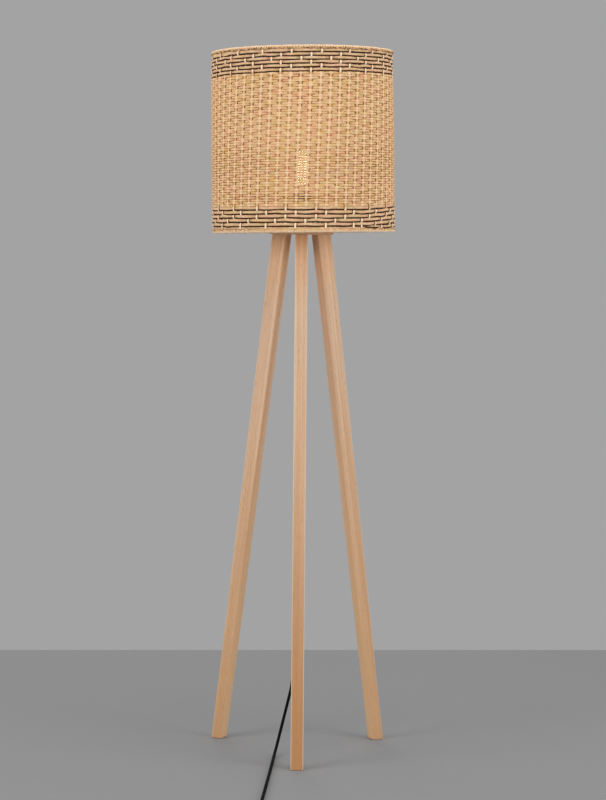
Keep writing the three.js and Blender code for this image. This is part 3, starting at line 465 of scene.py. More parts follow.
# Copies of one beech whose tones differ by the light on each leg: painted shade makes the front leg darker
# and warmer low down and under the shade, and painted light makes the side legs and hub lighter there. A
# leg's last number is the strength of its painted corner highlight.
front_wood = wood("leg_wood_front", tone(232, 199, 168), tone(190, 139, 92), tone(176, 124, 80),
                  tone(224, 171, 122), 0.8)
side_wood = wood("leg_wood_side", tone(228, 193, 160), tone(208, 164, 120), tone(180, 128, 84),
                 tone(249, 199, 148), 0.65)
hub_wood = wood("hub_wood", tone(206, 166, 128), tone(196, 152, 110), tone(158, 110, 74), tone(246, 196, 146))
# The number after each patch scale is how much painted shade a strand's edges get; body and border straw end
# with the colour of their painted highlight.
body_straw = straw("body_straw", tones((0, 232, 186, 140), (0.3, 242, 208, 162), (0.55, 234, 192, 144),
                                       (0.8, 240, 206, 166), (1, 246, 203, 156)),
                   (20, 20, 187), 0.92, tone(248, 213, 172))
stake_straw = straw("stake_straw", tones((0, 236, 196, 152), (0.5, 242, 204, 162), (1, 238, 196, 148)),
                    (190, 190, 60), 0.3, None, tone(255, 229, 194))
band_straw = straw("band_straw", tones((0, 228, 194, 158), (0.5, 236, 204, 170), (1, 224, 190, 150)),
                   (24, 24, 120), 0.25)
dark_straw = straw("dark_straw", tones((0, 84, 50, 20), (0.5, 58, 33, 13), (1, 74, 45, 22)),
                   (40, 40, 120), 0.2, gloss=0.06)
border_straw = straw("border_straw", tones((0, 236, 192, 148), (0.35, 242, 210, 168), (0.7, 232, 194, 152),
                                           (1, 246, 214, 182)),
                     (60, 60, 220), 0.8, tone(255, 228, 194))
black_steel = moulded("black_steel", tone(40, 40, 41), 0.32, 0.5, 500, 0.1, Metallic=0.3)
steel = metal("steel", (0.60, 0.61, 0.63, 1), 0.26, 0.42)
brass = metal("brass", (0.72, 0.54, 0.24, 1), 0.24, 0.4)
aluminium = metal("aluminium", (0.72, 0.72, 0.73, 1), 0.28, 0.44)
ceramic = moulded("ceramic", tone(236, 232, 222), 0.18, 0.32, 300, 0.05)
black_plastic = moulded("black_plastic", tone(34, 34, 35), 0.42, 0.6)
black_rubber = moulded("black_rubber", tone(10, 10, 11), 0.7, 0.85, 1400, 0.2, Specular_IOR_Level=0.05)
glass = clear_glass()
glow = glowing_wire()

# Camera

CAMERA_PLACE = (0.003765, -4.95118, 1.12533)
CAMERA_TURN, CAMERA_DIP, CAMERA_ROLL = -0.0005, 0.0715, 0.0091
camera_data = bpy.data.cameras.new("camera")
camera_data.lens, camera_data.sensor_width = 102.206, 36.0
camera = add_object("camera", camera_data)
camera.matrix_world = (Matrix.Translation(CAMERA_PLACE) @ Matrix.Rotation(CAMERA_TURN, 4, "Z")
                       @ Matrix.Rotation(math.pi / 2 - CAMERA_DIP, 4, "X")
                       @ Matrix.Rotation(CAMERA_ROLL, 4, "Z"))
bpy.context.scene.camera = camera

# Cord

CORD_RADIUS = 3.25
ON_FLOOR = 3.45  # middle of a cord on the floor
IN_SWITCH = 7.55  # middle of a cord in the switch
LEAD = [
    (0, 0, 1084.8), (0, 0, 1071.8), (0.5, 0, 980), (1, 0, 860), (1, 0, 720), (0.5, 0.5, 580), (-1, 0.5, 450),
    (-3, 0, 340), (-5.5, -1, 250), (-8.8, -1, 185), (-12.6, -1.5, 143), (-19.3, -5, 112), (-25.5, -10, 87),
    (-31.4, -18, 64), (-37.7, -32, 40), (-43.5, -52, 20), (-47.5, -77, 8.6), (-50, -104, 4.1),
    (-51.8, -140, ON_FLOOR), (-55, -208, ON_FLOOR), (-59.5, -300, ON_FLOOR),
    (-64, -390, ON_FLOOR), (-68.4, -482, ON_FLOOR), (-68.6, -520, ON_FLOOR),
    (-67.4, -546, ON_FLOOR), (-66.3, -564, 5.2), (-66, -578.5, IN_SWITCH), (-66, -588, IN_SWITCH)]
TAIL = [
    (-66, -666, IN_SWITCH), (-66, -672.25, IN_SWITCH), (-64, -695.5, 5.6), (-58, -704.5, 4.1),
    (-49.3, -709.9, ON_FLOOR), (-39, -712, ON_FLOOR), (-20, -712.2, ON_FLOOR), (-2, -711.9, 4.2),
    (5.5, -711.775, 4.55)]
END = [(38, -711.775, 11.65), (54, -711.9, 10.6), (66, -712, 8), (75.5, -712, 7.0), (81.7, -712, 7.0)]
COIL_CENTRE, COIL_INNER, COIL_PITCH, COIL_BASE = (25, -668), 26.025, 7.1, 4.55
COIL_TURNS = 5  # half of them in each of two layers


def coil_path():
    turns = np.linspace(0, COIL_TURNS, 36 * COIL_TURNS + 1)
    from_middle = turns - COIL_TURNS / 2
    climb = np.clip(from_middle / 0.5 + 0.5, 0, 1)
    radius = COIL_INNER + COIL_PITCH * np.abs(from_middle)
    angle = turns * TAU - math.pi / 2
    return np.column_stack([COIL_CENTRE[0] + radius * np.cos(angle), COIL_CENTRE[1] + radius * np.sin(angle),
                            COIL_BASE + COIL_PITCH * climb])


lead_path = centripetal(LEAD, 10)
coil = coil_path()
entry, leave = coil[0] - (2 * CORD_RADIUS, 0, 0), coil[-1] + (2 * CORD_RADIUS, 0, 0)
tail_path = np.vstack([centripetal([*TAIL, entry, coil[0]], 10)[:-1], coil,
                       centripetal([coil[-1], leave, *END], 10)[1:]])
lead = Skin().strand(tube(lead_path, CORD_RADIUS, 16)).build(
    "cord_to_switch", black_rubber, "black_rubber", "cord_lead")
tail = Skin().strand(tube(tail_path, CORD_RADIUS, 16)).build(
    "cord_coiled", black_rubber, "black_rubber", "cord_tail cord_coil cord_end")


def relief(path, base, tip, length, ribs):
    """Rings of a tapered, ribbed bend relief over the start of a cord's path."""
    share = np.linspace(0, 1, 8 * ribs + 1)
    middle = np.column_stack([np.interp(share * length, lengths(path), path[:, i]) for i in range(3)])
    groove = 0.55 * (0.5 - 0.5 * np.cos(share * ribs * TAU)) ** 3
    radius = base + (tip - base) * share - groove
    radius[-1] = tip - 0.3
    return tube(middle, radius, 24)


# Foot switch

SWITCH = np.array([-66.0, -627.0])
SWITCH_LENGTH, SWITCH_WIDTH = 84, 40
SPRING_DIAMETER, SPRING_WIRE, SPRING_TURNS, SPRING_FLAT = 12.0, 1.1, 4, 0.6  # flat: turns at each end


def stadium(height, inset=0, length=SWITCH_LENGTH, width=SWITCH_WIDTH):
    """A level ring of the switch's outline, or of the space inside it."""
    length, width = length - 2 * inset, width - 2 * inset
    return level(rounded_rectangle(width, length, width / 2 - 0.3, 12) + SWITCH, height)


def switch_hole(radius, height):
    """A level ring of the button's opening, with as many points as the outline."""
    return level(unit(rounded_rectangle(28, 72, 13.7, 12)) * radius + SWITCH, height)


def foot_switch():
    """The switch's bend reliefs, cover, base, button and a spring that shortens."""
    reliefs = Skin().shell(relief(lead_path[::-1][6:], 5.6, 4.2, 26, 6))
    reliefs.shell(relief(tail_path[5:], 5.6, 4.2, 22, 5))
    reliefs.build("switch_bend_reliefs", black_rubber, "black_rubber")
    outside = [stadium(z) for z in (4.3, 5.0, 10.0, 13.0)]
    shoulder = [stadium(14 + rise, inset) for inset, rise in
                ((0.15, 0.9), (0.65, 2.2), (1.5, 3.5), (2.7, 4.6), (4.2, 5.45), (6.0, 6.0))]
    opening = [switch_hole(radius, z) for radius, z in
               ((15.2, 20.0), (14.6, 19.6), (14.0, 19.3), (13.2, 19.3), (12.6, 19.1), (12.3, 18.7),
                (12.3, 17.9), (13.6, 17.8))]
    inside = [stadium(z, 0, length, width) for length, width, z in
              ((70, 26, 17.8), (78, 34.5, 15.5), (79.6, 35.6, 13), (79.6, 35.6, 4.3))]
    Skin().shell(np.array([*outside, *shoulder, *opening, *inside]), closed=True).build(
        "switch_housing", black_plastic, "black_plastic", "switch_cover", sharp=50)
    foot = [stadium(z, inset) for inset, z in ((0.7, 0), (0.2, 0.4), (0, 1.0), (0, 3.4), (0.3, 4.0))]
    Skin().shell(np.array(foot)).build("switch_foot", black_plastic, "black_plastic", "switch_base", sharp=50)
    button = [(1, 15.9), (14, 15.9), (14, 17.5), (12, 17.5), (12, 22.6), (11.85, 23.3), (11.4, 23.9),
              (10.7, 24.35), (9.9, 24.5), (9.0, 24.3), (8.4, 24.1), (7.9, 24.15), (7.3, 24.0), (6.6, 23.8),
              (6.1, 23.85), (5.5, 23.7), (4.8, 23.55), (4.3, 23.6), (3.6, 23.45), (2, 23.4), (0.3, 23.4)]
    Skin().shell(turned(button, 64) + (*SWITCH, 0)).build(
        "switch_cap", black_plastic, "black_plastic", "switch_button", "switch_button", sharp=35)
    lowest, highest = box_mm("switch_spring")
    turns = np.linspace(0, SPRING_TURNS, SPRING_TURNS * 24 + 1)
    climb = np.clip((turns - SPRING_FLAT) / (SPRING_TURNS - 2 * SPRING_FLAT), 0, 1)
    reach = (SPRING_DIAMETER - SPRING_WIRE) / 2
    path = np.column_stack([SWITCH[0] + reach * np.cos(turns * TAU), SWITCH[1] + reach * np.sin(turns * TAU),
                            lowest[2] + SPRING_WIRE / 2 + (highest[2] - lowest[2] - SPRING_WIRE) * climb])
    spring = Skin().shell(tube(path, SPRING_WIRE / 2)).build(
        "switch_spring_wire", steel, "steel", "switch_spring")
    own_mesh(spring)


foot_switch()

# Plug

PLUG_BACK, PLUG_Y, PLUG_Z = 106.0, -712.0, 7.0
PLUG_LENGTH, PLUG_WIDTH, PLUG_THICK, PLUG_ROUNDING = 36.0, 26.0, 13.6, 4.4
GRIP_FROM, GRIP_TO, GRIP_GROOVES, GRIP_DEEP = 0.45, 0.85, 7, 0.4
PIN_APART = 18.6
# Shares of the plug's width and thickness, along it
PLUG_SHARES = np.array([[0, 0.44, 0.74], [0.03, 0.46, 0.76], [0.14, 0.54, 0.84], [0.28, 0.75, 0.94],
                        [0.42, 0.94, 1], [0.56, 1, 1], [0.72, 0.985, 1], [0.88, 1, 1], [0.95, 0.985, 0.97],
                        [0.985, 0.95, 0.92], [1, 0.9, 0.84]])


def plug_section(share):
    """One ring of the plug's body, with shallow grooves where fingers hold it."""
    wide, thick = (np.interp(share, PLUG_SHARES[:, 0], PLUG_SHARES[:, i]) for i in (1, 2))
    grip = 0.0
    if GRIP_FROM < share < GRIP_TO:
        wave = math.sin((share - GRIP_FROM) / (GRIP_TO - GRIP_FROM) * GRIP_GROOVES * math.pi)
        grip = GRIP_DEEP * max(0.0, wave) ** 2
    corner = min(PLUG_ROUNDING, 6.3 * thick)
    outline = rounded_rectangle(PLUG_WIDTH * wide - 2 * grip, PLUG_THICK * thick - grip, corner, 8)
    return np.insert(outline + (PLUG_Y, PLUG_Z), 0, PLUG_BACK + PLUG_LENGTH * share, axis=1)


def plug_pin(side, node):
    """A turned pin: side is 1 or -1."""
    rings = turned([(0.5, 0.3), (1.9, 0.3), (1.9, 9.0), (2.0, 9.2), (2.0, 17.4), (1.85, 18.1), (1.4, 18.7),
                    (0.7, 19.0), (0.1, 19.0)], 32)
    root = (PLUG_BACK + PLUG_LENGTH, PLUG_Y + side * PIN_APART / 2, PLUG_Z)
    return Skin().shell(rings[..., ::-1] + root).build(node + "_turned", steel, "steel", node)


relief_path = np.linspace((108, PLUG_Y, PLUG_Z), (81.8, PLUG_Y, PLUG_Z), 40)
plug = Skin().shell(np.array([plug_section(share) for share in np.linspace(0, 1, 49)]))
plug = plug.shell(relief(relief_path, 5.2, 4.1, 26, 7)).build(
    "plug_housing", black_plastic, "black_plastic", "plug_body", sharp=50)
pins = [plug_pin(1, "plug_pin_left"), plug_pin(-1, "plug_pin_right")]

# Tie of the coil

TIE_THICK, TIE_HALF_WIDE, TIE_ROOM = 0.8, 4.5, (1.6, 0.6)  # room beside and above the bundle of turns
tie_size = np.array([2 * COIL_PITCH, COIL_PITCH]) + 2 * CORD_RADIUS + TIE_ROOM + TIE_THICK
tie_middle = (COIL_CENTRE[1] + COIL_INNER + COIL_PITCH, COIL_BASE + COIL_PITCH / 2)
tie_path = np.insert(rounded_rectangle(*tie_size, 3.6, 7) + tie_middle, 0, COIL_CENTRE[0], axis=1)
tie_rings = strap(tie_path, TIE_THICK / 2, TIE_HALF_WIDE, (1, 0, 0), 12, True, 0.5)
tie = Skin().shell(tie_rings, closed=True).build("coil_strap", black_rubber, "black_plastic", "cord_tie")

# Stage and light

FLOOR_EDGE = ((-8.0, 0.797), (8.0, 1.590))  # where the photograph's floor meets its wall
WALL_TONE = tone(163, 163, 163)
LAMP_LIGHT = (0.56, 0.56, 0.57, 1)  # what the world gives the object


def lay_floor():
    mesh = bpy.data.meshes.new("floor")
    mesh.from_pydata([(-8, -9, 0), (8, -9, 0), (*FLOOR_EDGE[1], 0), (*FLOOR_EDGE[0], 0)], [], [(0, 1, 2, 3)])
    paper = Finish("floor_paper", Roughness=0.9, Specular_IOR_Level=0.1)
    fibre = paper.noise(paper.spot(), 60.0, 2.0)
    mesh.materials.append(paper.feed(Base_Color=paper.mix(fibre, tone(137, 137, 137), tone(140, 140, 140))))
    add_object("floor", mesh)


def light_world():
    """A world that the camera, gloss and glass see as the photograph's wall."""
    world = bpy.data.worlds.new("studio")
    bpy.context.scene.world = world
    world.use_nodes = True
    nodes, links = world.node_tree.nodes, world.node_tree.links
    rays = nodes.new("ShaderNodeLightPath")
    seen = rays.outputs["Is Camera Ray"]
    for ray in ("Is Glossy Ray", "Is Transmission Ray"):
        either = nodes.new("ShaderNodeMath")
        either.operation, either.use_clamp = "ADD", True
        links.new(seen, either.inputs[0])
        links.new(rays.outputs[ray], either.inputs[1])
        seen = either.outputs[0]
    sky = nodes.new("ShaderNodeMix")
    sky.data_type = "RGBA"
    sky.inputs[6].default_value = LAMP_LIGHT
    sky.inputs[7].default_value = WALL_TONE
    links.new(seen, sky.inputs[0])
    links.new(sky.outputs[2], nodes["Background"].inputs["Color"])


def soft_light(name, place, aim, size, power):
    data = bpy.data.lights.new(name, "AREA")
    data.shape, data.size, data.energy = "DISK", size, power
    lamp = add_object(name, data)
    lamp.location = place
    lamp.rotation_euler = (Vector(aim) - Vector(place)).to_track_quat("-Z", "Y").to_euler()


def bulb_light():
    """The bulb's own faint light, which isn't seen itself."""
    data = bpy.data.lights.new("bulb_light", "POINT")
    data.energy, data.color, data.shadow_soft_size = 0.3, (1.0, 0.74, 0.42), 0.03
    lamp = add_object("bulb_light", data)
    lamp.location = (0, 0, 1.285)
    lamp.visible_camera = lamp.visible_glossy = lamp.visible_transmission = False
    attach(lamp, "bulb")


lay_floor()
light_world()
soft_light("key", (-3.5, -2.4, 1.7), (0, 0, 0.85), 2.4, 86)
soft_light("fill", (3.5, -2.4, 1.4), (0, 0, 0.8), 2.6, 78)
soft_light("top", (0.3, -0.6, 4.2), (0, 0, 0.6), 2.4, 40)
soft_light("back", (-0.6, 3.4, 2.4), (0, 0, 0.9), 2.2, 26)
bulb_light()

# Hub and legs

HUB_FOOT, HUB_TOP, HUB_RADIUS, HUB_ROUNDING, HUB_BORE = 1131.5, 1151.5, 69.0, 2.5, 5.4
LEG_TOP, LEG_TOP_DEPTH, LEG_FOOT_DEPTH, LEG_ROUNDING = 1131.2, 35.0, 24.0, 1.9
LEG_SPREAD, LEG_INSET = 215.5, 0.5  # outer edge of a foot, and the hub's edge to a leg's outer corners
LEG_SIDES = {"front": -90, "left": 150, "right": 30}
LEG_CHAMFER = [(0, 1.7), (0.15, 1.25), (0.6, 0.55), (1.5, 0.08), (2.2, 0)]  # height and inset at the foot


def leg(number, side_name, azimuth):
    top_outer = math.sqrt((HUB_RADIUS - LEG_INSET) ** 2 - (LEG_WIDTH / 2) ** 2)
    levels = LEG_CHAMFER + [(height, 0) for height in np.linspace(LEG_CHAMFER[-1][0], LEG_TOP, 24)[1:]]
    rings, coords = [], []
    for height, inset in levels:
        share = height / LEG_TOP
        depth = LEG_FOOT_DEPTH + (LEG_TOP_DEPTH - LEG_FOOT_DEPTH) * share
        outer = LEG_SPREAD + (top_outer - LEG_SPREAD) * share
        outline = rounded_rectangle(depth - 2 * inset, LEG_WIDTH - 2 * inset, LEG_ROUNDING, 6)
        rings.append(about_z(level(outline + (outer - depth / 2, 0), height), azimuth))
        coords.append(level(outline / (depth / 2, LEG_WIDTH / 2), height * MM + 3.7 * number))
    Skin().shell(np.array(rings), np.array(coords)).build(
        f"leg_{side_name}_planed", side_wood if number else front_wood, "wood", f"leg_{side_name}", sharp=60)


def hub():
    side = HUB_RADIUS - HUB_ROUNDING
    profile = [(HUB_BORE, HUB_FOOT), *arc((side, HUB_FOOT + HUB_ROUNDING), HUB_ROUNDING, -90, 0, 6),
               *arc((side, HUB_TOP - HUB_ROUNDING), HUB_ROUNDING, 0, 90, 6), (HUB_BORE, HUB_TOP)]
    rings = lathe(profile, 128)
    coords = rings[..., [1, 2, 0]] * MM + (0.11, 0.23, 0.05)
    Skin().shell(rings, coords, closed=True).build("hub_turned", hub_wood, "wood", "hub_disc")


for leg_number, (leg_side, azimuth) in enumerate(LEG_SIDES.items()):
    leg(leg_number, leg_side, azimuth)
hub()

# Shade

STAKES = 58
STAKE_STEP = TAU / STAKES
BAND_TOP, BAND_FOOT = 1511.0, 1185.0
SLANT = 0.076
FRONT_STAKE = -0.0052
WALL = 196.5
SHADE_MIDDLE, SHADE_TILT, SHADE_SHIFT = 1330.0, 0.017, 0.8
FITTER_REACH, WALL_REACH = 30.0, 170.0  # the spider follows the tilt from its ring to the wall
NARROW_FROM, NARROW_OVER, NARROW_SHARE = 1300.0, 200.0, 0.0116
SEAM = 29  # the stake at the back where rounds begin

# The bands: a dark strand with a pale one above it, wound together and climbing to the right
TOP_PITCH, TOP_FIRST, TOP_BARS, TOP_START = 7.9, 1470.7, (1, 2, 1, 0, 1, 2), -28.0
TOP_MEETS, TOP_MOST_ROOM = 1517.6, 11.0  # where the border covers the last round, and its most room
FOOT_PITCH, FOOT_FIRST, FOOT_BARS = 8.6, 1148.6, (1, 0, 1, 2, 0, 2)
BAND_ROUNDS, BAND_STEPS = 5, 6  # steps from stake to stake
DARK_HALF, DARK_THICK, PALE_THICK, PALE_LEAST = 1.45, 0.9, 0.7, 0.2
BAND_OUT, BAND_IN = 0.9, -1.5
CLIMB_FROM, CLIMB_SPAN = 5.5, 9.5  # stakes over which the foot band climbs to its next row
FOOT_START, FOOT_END, FOOT_START_LEVEL, FOOT_START_ROOM = 7.5, 21.0, 1145.9, 5.0
FOOT_FALL = 3.0  # stakes over which it comes down where its last round ends
FOOT_LEAN, LEAN_FADES = 6.0, 9.0  # its tilt, which fades over the last stakes before the seam
RIM_LEVEL, RIM_THICK, RIM_HALF = 1145.6, 0.8, 1.5  # the pale strand under the foot band

# The body, between the bands
BODY_TOP, BODY_FOOT, BODY_ROWS = 1468.9, 1190.0, 54
BODY_PITCH = (BODY_TOP - BODY_FOOT) / BODY_ROWS
BODY_STEPS = np.array([0, 0.1, 0.15, 0.19, 0.235, 0.32, 0.5, 0.68, 0.765, 0.81, 0.85, 0.9])  # stake to stake
BODY_OUT, BODY_IN, BODY_THICK, BODY_HIGH, BODY_SAG = 1.15, -1.15, 0.6, 2.95, 0.3
STAKE_OUT, STAKE_IN, STAKE_THICK, STAKE_WIDE, BAR_WIDE = 0.75, -0.6, 1.15, 2.7, 2.1
BAR_OUT, BAR_IN = 1.3, -1.5  # a stake's place in front of a band's strands and behind them
BAR_LIFT = 0.34  # of a band's pitch: how far above a dark strand a stake has that place
STAKE_FOOT, STAKE_HEAD = 1144.0, 1516.0
DIVE_FROM, DIVE_TO = 0.4, 0.13  # in stakes from a stake: where the strand goes in behind it
JOG_SHARE = 0.95  # of each round, where the strand begins to climb to its next row
START_REACH, START_HALF = 2.4, 0.1  # the strand's narrow start: stakes before the seam, and its share
YIELD = 150.0  # how far into the body its rows follow the edge of a band
BULB_LEVEL, LOOSE_REACH = 1270.0, 45.0  # the weave is looser in front of the bulb
LOOSE_SLIM, LOOSE_SLIM_FRONT, LOOSE_FRONT = 0.52, 0.12, 5  # less half height there, most at the front
OPEN_LEVEL, OPEN_REACH, OPEN_ACROSS, OPEN_SLIM = 1207.0, 10.0, 9.0, 1.1  # low in front of the lampholder
PINCH, PINCH_LOOSE, PINCH_OPEN, PINCH_AT, PINCH_REACH = 0.3, 0.2, 0.5, 0.2, 0.08  # beside a dive
# the value marks a painted highlight on a stake the strand crosses and painted shade beside its dive
LIT_TO, LIT_OVER, HOLLOW_AT, HOLLOW_REACH = 0.175, 0.07, 0.19, 0.05  # the strand's value, in stakes
ROW_JITTER, HALF_JITTER, BAND_JITTER = 0.2, 0.1, 0.4
ROW_STEADY, HALF_STEADY = 0.7, 0.6  # how much less of it in front of the bulb
BAND_SAG, SAG_VARIES, STAKE_SWAY = 0.3, 0.6, 0.5


def settled(points):
    """Places points as the shade sits: a little narrower at its top, and leaning to one side."""
    points = np.array(points, float)
    reach = np.hypot(points[..., 0], points[..., 1])
    share = smooth((reach - FITTER_REACH) / (WALL_REACH - FITTER_REACH))
    narrow = 1 - NARROW_SHARE * share * np.clip((points[..., 2] - NARROW_FROM) / NARROW_OVER, 0, None) ** 2
    x, z = points[..., 0] * narrow, points[..., 2] - SHADE_MIDDLE
    points[..., 0] = x + share * (SHADE_SHIFT - SHADE_TILT * z)
    points[..., 1] *= narrow
    points[..., 2] += share * SHADE_TILT * x
    return points


def stake_angle(number, height):
    """Angle of a stake at a height, to the right of the front."""
    return FRONT_STAKE + number * STAKE_STEP - SLANT * (BAND_TOP - height) / (BAND_TOP - BAND_FOOT)


def on_wall(angle, radius, height):
    return np.stack([radius * np.sin(angle), -radius * np.cos(angle), height + 0 * angle], -1)


def round_wall(angle):
    """The level direction along the wall at an angle."""
    return np.stack([np.cos(angle), np.sin(angle), 0 * angle], -1)


def signed(place):
    """A place in stakes, counted from the front one to the seam at the back."""
    return SEAM - (SEAM - place) % STAKES


def top_step(number):
    """The share of a row by which the body has stepped up near its seam."""
    back = (JOG_SHARE - 0.5) * STAKES
    return smooth((-back - number) / (SEAM - back))


def top_shift(number):
    """How much higher a row of the top band lies here than at the front."""
    return TOP_PITCH * (number / STAKES + top_step(number))


def foot_lean(number):
    """How much higher the whole foot band lies here than at the front."""
    return -FOOT_LEAN * number / STAKES * smooth((SEAM - np.abs(number)) / LEAN_FADES)


def foot_climb(number):
    """How much the foot band's upper edge has climbed here."""
    return FOOT_PITCH * (smooth((number - CLIMB_FROM) / CLIMB_SPAN) - smooth((number - FOOT_END) / FOOT_FALL))


def weave_body(courses):
    """One strand climbs leftward round the shade, over two stakes and behind the third."""
    crossings = np.arange(BODY_ROWS * STAKES + 1)
    where = np.concatenate([np.arange(-START_REACH, -0.01, 0.2), (crossings[:-1, None] + BODY_STEPS).ravel(),
                            crossings[-1:]])
    opening = smooth((1 + where / STAKES - JOG_SHARE) / (1 - JOG_SHARE))  # narrow under its first climb
    rounds = np.clip(np.floor(where / STAKES), 0, BODY_ROWS - 1)
    share = where / STAKES - rounds
    number = SEAM - share * STAKES
    jog = np.where(rounds < BODY_ROWS - 1, smooth((share - JOG_SHARE) / (1 - JOG_SHARE)), 0)
    height = BODY_FOOT + BODY_PITCH * (rounds + 0.5 * opening + jog)
    near_top = np.clip((height - BODY_TOP) / YIELD + 1, 0, 1) ** 2
    near_foot = np.clip((BODY_FOOT - height) / YIELD + 1, 0, 1) ** 2
    loose = near(height, BULB_LEVEL, LOOSE_REACH)
    height = height + near_top * top_shift(number) + near_foot * (foot_lean(number) + foot_climb(number))
    height += (1 - ROW_STEADY * loose) * eased(where, rng.normal(0, ROW_JITTER, len(crossings)), 0.0)
    to_stake = np.abs(where - np.rint(where))
    to_dive = np.abs(where - 3 * np.rint(where / 3))
    dive = smooth((DIVE_FROM - to_dive) / (DIVE_FROM - DIVE_TO))
    sag = BODY_SAG * np.sin(math.pi * to_stake) ** 2 * (1 - dive)
    radius = WALL + BODY_OUT - (BODY_OUT - BODY_IN) * dive - sag
    open_foot = near(height, OPEN_LEVEL, OPEN_REACH) * near(number, 0, OPEN_ACROSS)
    pinch = (PINCH + PINCH_LOOSE * loose + PINCH_OPEN * open_foot) * near(to_dive, PINCH_AT, PINCH_REACH)
    slim = (LOOSE_SLIM + LOOSE_SLIM_FRONT * near(number, 0, LOOSE_FRONT)) * loose + OPEN_SLIM * open_foot
    half = BODY_HIGH - slim - pinch
    half += (1 - HALF_STEADY * loose) * eased(where, rng.normal(0, HALF_JITTER, len(crossings)), 0.1)
    half *= START_HALF + (1 - START_HALF) * opening
    # the value: painted highlight over a stake, painted shade beside a dive
    lit = smooth((LIT_TO - to_stake) / LIT_OVER) * (1 - dive)
    value = lit - near(to_dive, HOLLOW_AT, HOLLOW_REACH)
    path = on_wall(stake_angle(SEAM - where, height), radius, height)
    Skin().strand(settled(strap(path, BODY_THICK, half, UP)), value=value).build(
        "shade_wefts", body_straw, "straw", "shade_weave", sharp=80)
    for step, height_there in enumerate(np.interp(crossings[:-1], where, height)):
        courses[(SEAM - step) % STAKES].append((height_there, STAKE_IN if step % 3 else STAKE_OUT))


def band_places(first, last):
    """Places along a band's strands, in stakes, with each one's number from the front and its round."""
    places = np.linspace(first, last, int((last - first) * BAND_STEPS) + 1)
    return places, signed(places), np.floor((places + SEAM) / STAKES)


def upper_band():
    """Places, heights of the dark strand and room between its rounds."""
    places, number, turn = band_places(TOP_START, BAND_ROUNDS * STAKES + SEAM)
    step = np.where(turn == 0, top_step(number), 0)  # the first round starts in a narrow place
    height = TOP_FIRST + TOP_PITCH * (turn + number / STAKES + step)
    last_room = np.minimum(TOP_MOST_ROOM, TOP_MEETS - height + DARK_HALF)
    return places, height, np.where(turn == BAND_ROUNDS, last_room, TOP_PITCH * (1 - step))


def lower_band():
    """The same for the lower band."""
    places, number, turn = band_places(FOOT_START, BAND_ROUNDS * STAKES + FOOT_END)
    climbed = turn + smooth((number - CLIMB_FROM) / CLIMB_SPAN)
    height = np.maximum(FOOT_FIRST + FOOT_PITCH * (climbed - 1), FOOT_START_LEVEL) + foot_lean(number)
    first_room = np.interp(number, (FOOT_START, CLIMB_FROM + CLIMB_SPAN), (FOOT_START_ROOM, FOOT_PITCH))
    return places, height, np.where(turn == 0, first_room, FOOT_PITCH)


def wound(places, out, heights, half_high, half_thick, squareness):
    """Rings of a band's strand."""
    path = on_wall(stake_angle(places, heights), WALL + BAND_IN + (BAND_OUT - BAND_IN) * out, heights)
    return settled(strap(path, half_thick, half_high, UP, 8, False, squareness))


def wind_band(band, pitch, patterns, side, pale, courses):
    """Winds a band: its dark strand is a piece, and its pale one joins the pale strands."""
    places, height, room = band
    stops = np.arange(math.floor(places[0]), math.ceil(places[-1]) + 1)
    turn = np.floor((stops + SEAM) / STAKES).astype(int)
    front = signed(stops) % 3 == np.take(patterns, turn, mode="clip")
    out = eased(places - stops[0], np.where(front, 0.0, 1.0), 0.12)
    heights = height + eased(places - stops[0], rng.normal(0, BAND_JITTER, len(stops)), 0.0)
    heights = heights - BAND_SAG * out * (1 + SAG_VARIES * np.sin(places * 0.9))
    Skin().strand(wound(places, out, heights, DARK_HALF, DARK_THICK, 0.9)).build(
        f"shade_dark_wefts_{side}", dark_straw, "dark_straw", f"shade_dark_rows_{side}", sharp=80)
    pale_half = np.maximum(room / 2 - DARK_HALF + 0.05, PALE_LEAST)
    pale.strand(wound(places, out, heights + room / 2, pale_half, PALE_THICK, 0.6))
    for stop, is_front in zip(stops, front):
        height_there = np.interp(stop, places, heights) + pitch * BAR_LIFT
        courses[stop % STAKES].append((height_there, BAR_OUT if is_front else BAR_IN))


def weave_bands(courses):
    pale = Skin()
    wind_band(upper_band(), TOP_PITCH, TOP_BARS, "upper", pale, courses)
    wind_band(lower_band(), FOOT_PITCH, FOOT_BARS, "lower", pale, courses)
    places = np.arange(STAKES * BAND_STEPS) / BAND_STEPS
    heights = RIM_LEVEL + foot_lean(signed(places))
    rim = on_wall(stake_angle(places, heights), WALL - 0.7 + 0 * places, heights)
    pale.strand(settled(strap(rim, RIM_THICK, RIM_HALF, UP, closed=True)), closed=True)
    pale.build("shade_band_wefts", band_straw, "straw", sharp=80)


def stand_stakes(courses):
    """Each stake passes in front of the rows that go behind it."""
    stakes = Skin()
    for k, course in enumerate(courses):
        rows = np.array(sorted(course))
        count = np.arange(len(rows))
        heights = np.concatenate([np.linspace(STAKE_FOOT, rows[0, 0], 6, endpoint=False),
                                  np.interp(np.arange(0, (len(rows) - 1) * 4 + 1) / 4, count, rows[:, 0]),
                                  np.linspace(rows[-1, 0], STAKE_HEAD, 6)[1:]])
        radius = WALL + eased(np.interp(heights, rows[:, 0], count), rows[:, 1], 0.2)
        angle = stake_angle(signed(k), heights) + STAKE_SWAY / WALL * np.sin(heights * 0.023 + k * 2.4)
        in_body = smooth((BODY_TOP + 2 - heights) / 6) * smooth((heights - BODY_FOOT + 2) / 6)
        half = BAR_WIDE + (STAKE_WIDE - BAR_WIDE) * in_body + 0.1 * np.sin(heights * 0.05 + k)
        path = on_wall(angle, radius, heights)
        stakes.strand(settled(strap(path, STAKE_THICK, half, round_wall(angle), squareness=0.7)))
    stakes.build("shade_stake_canes", stake_straw, "straw_pale", "shade_stakes", sharp=80)


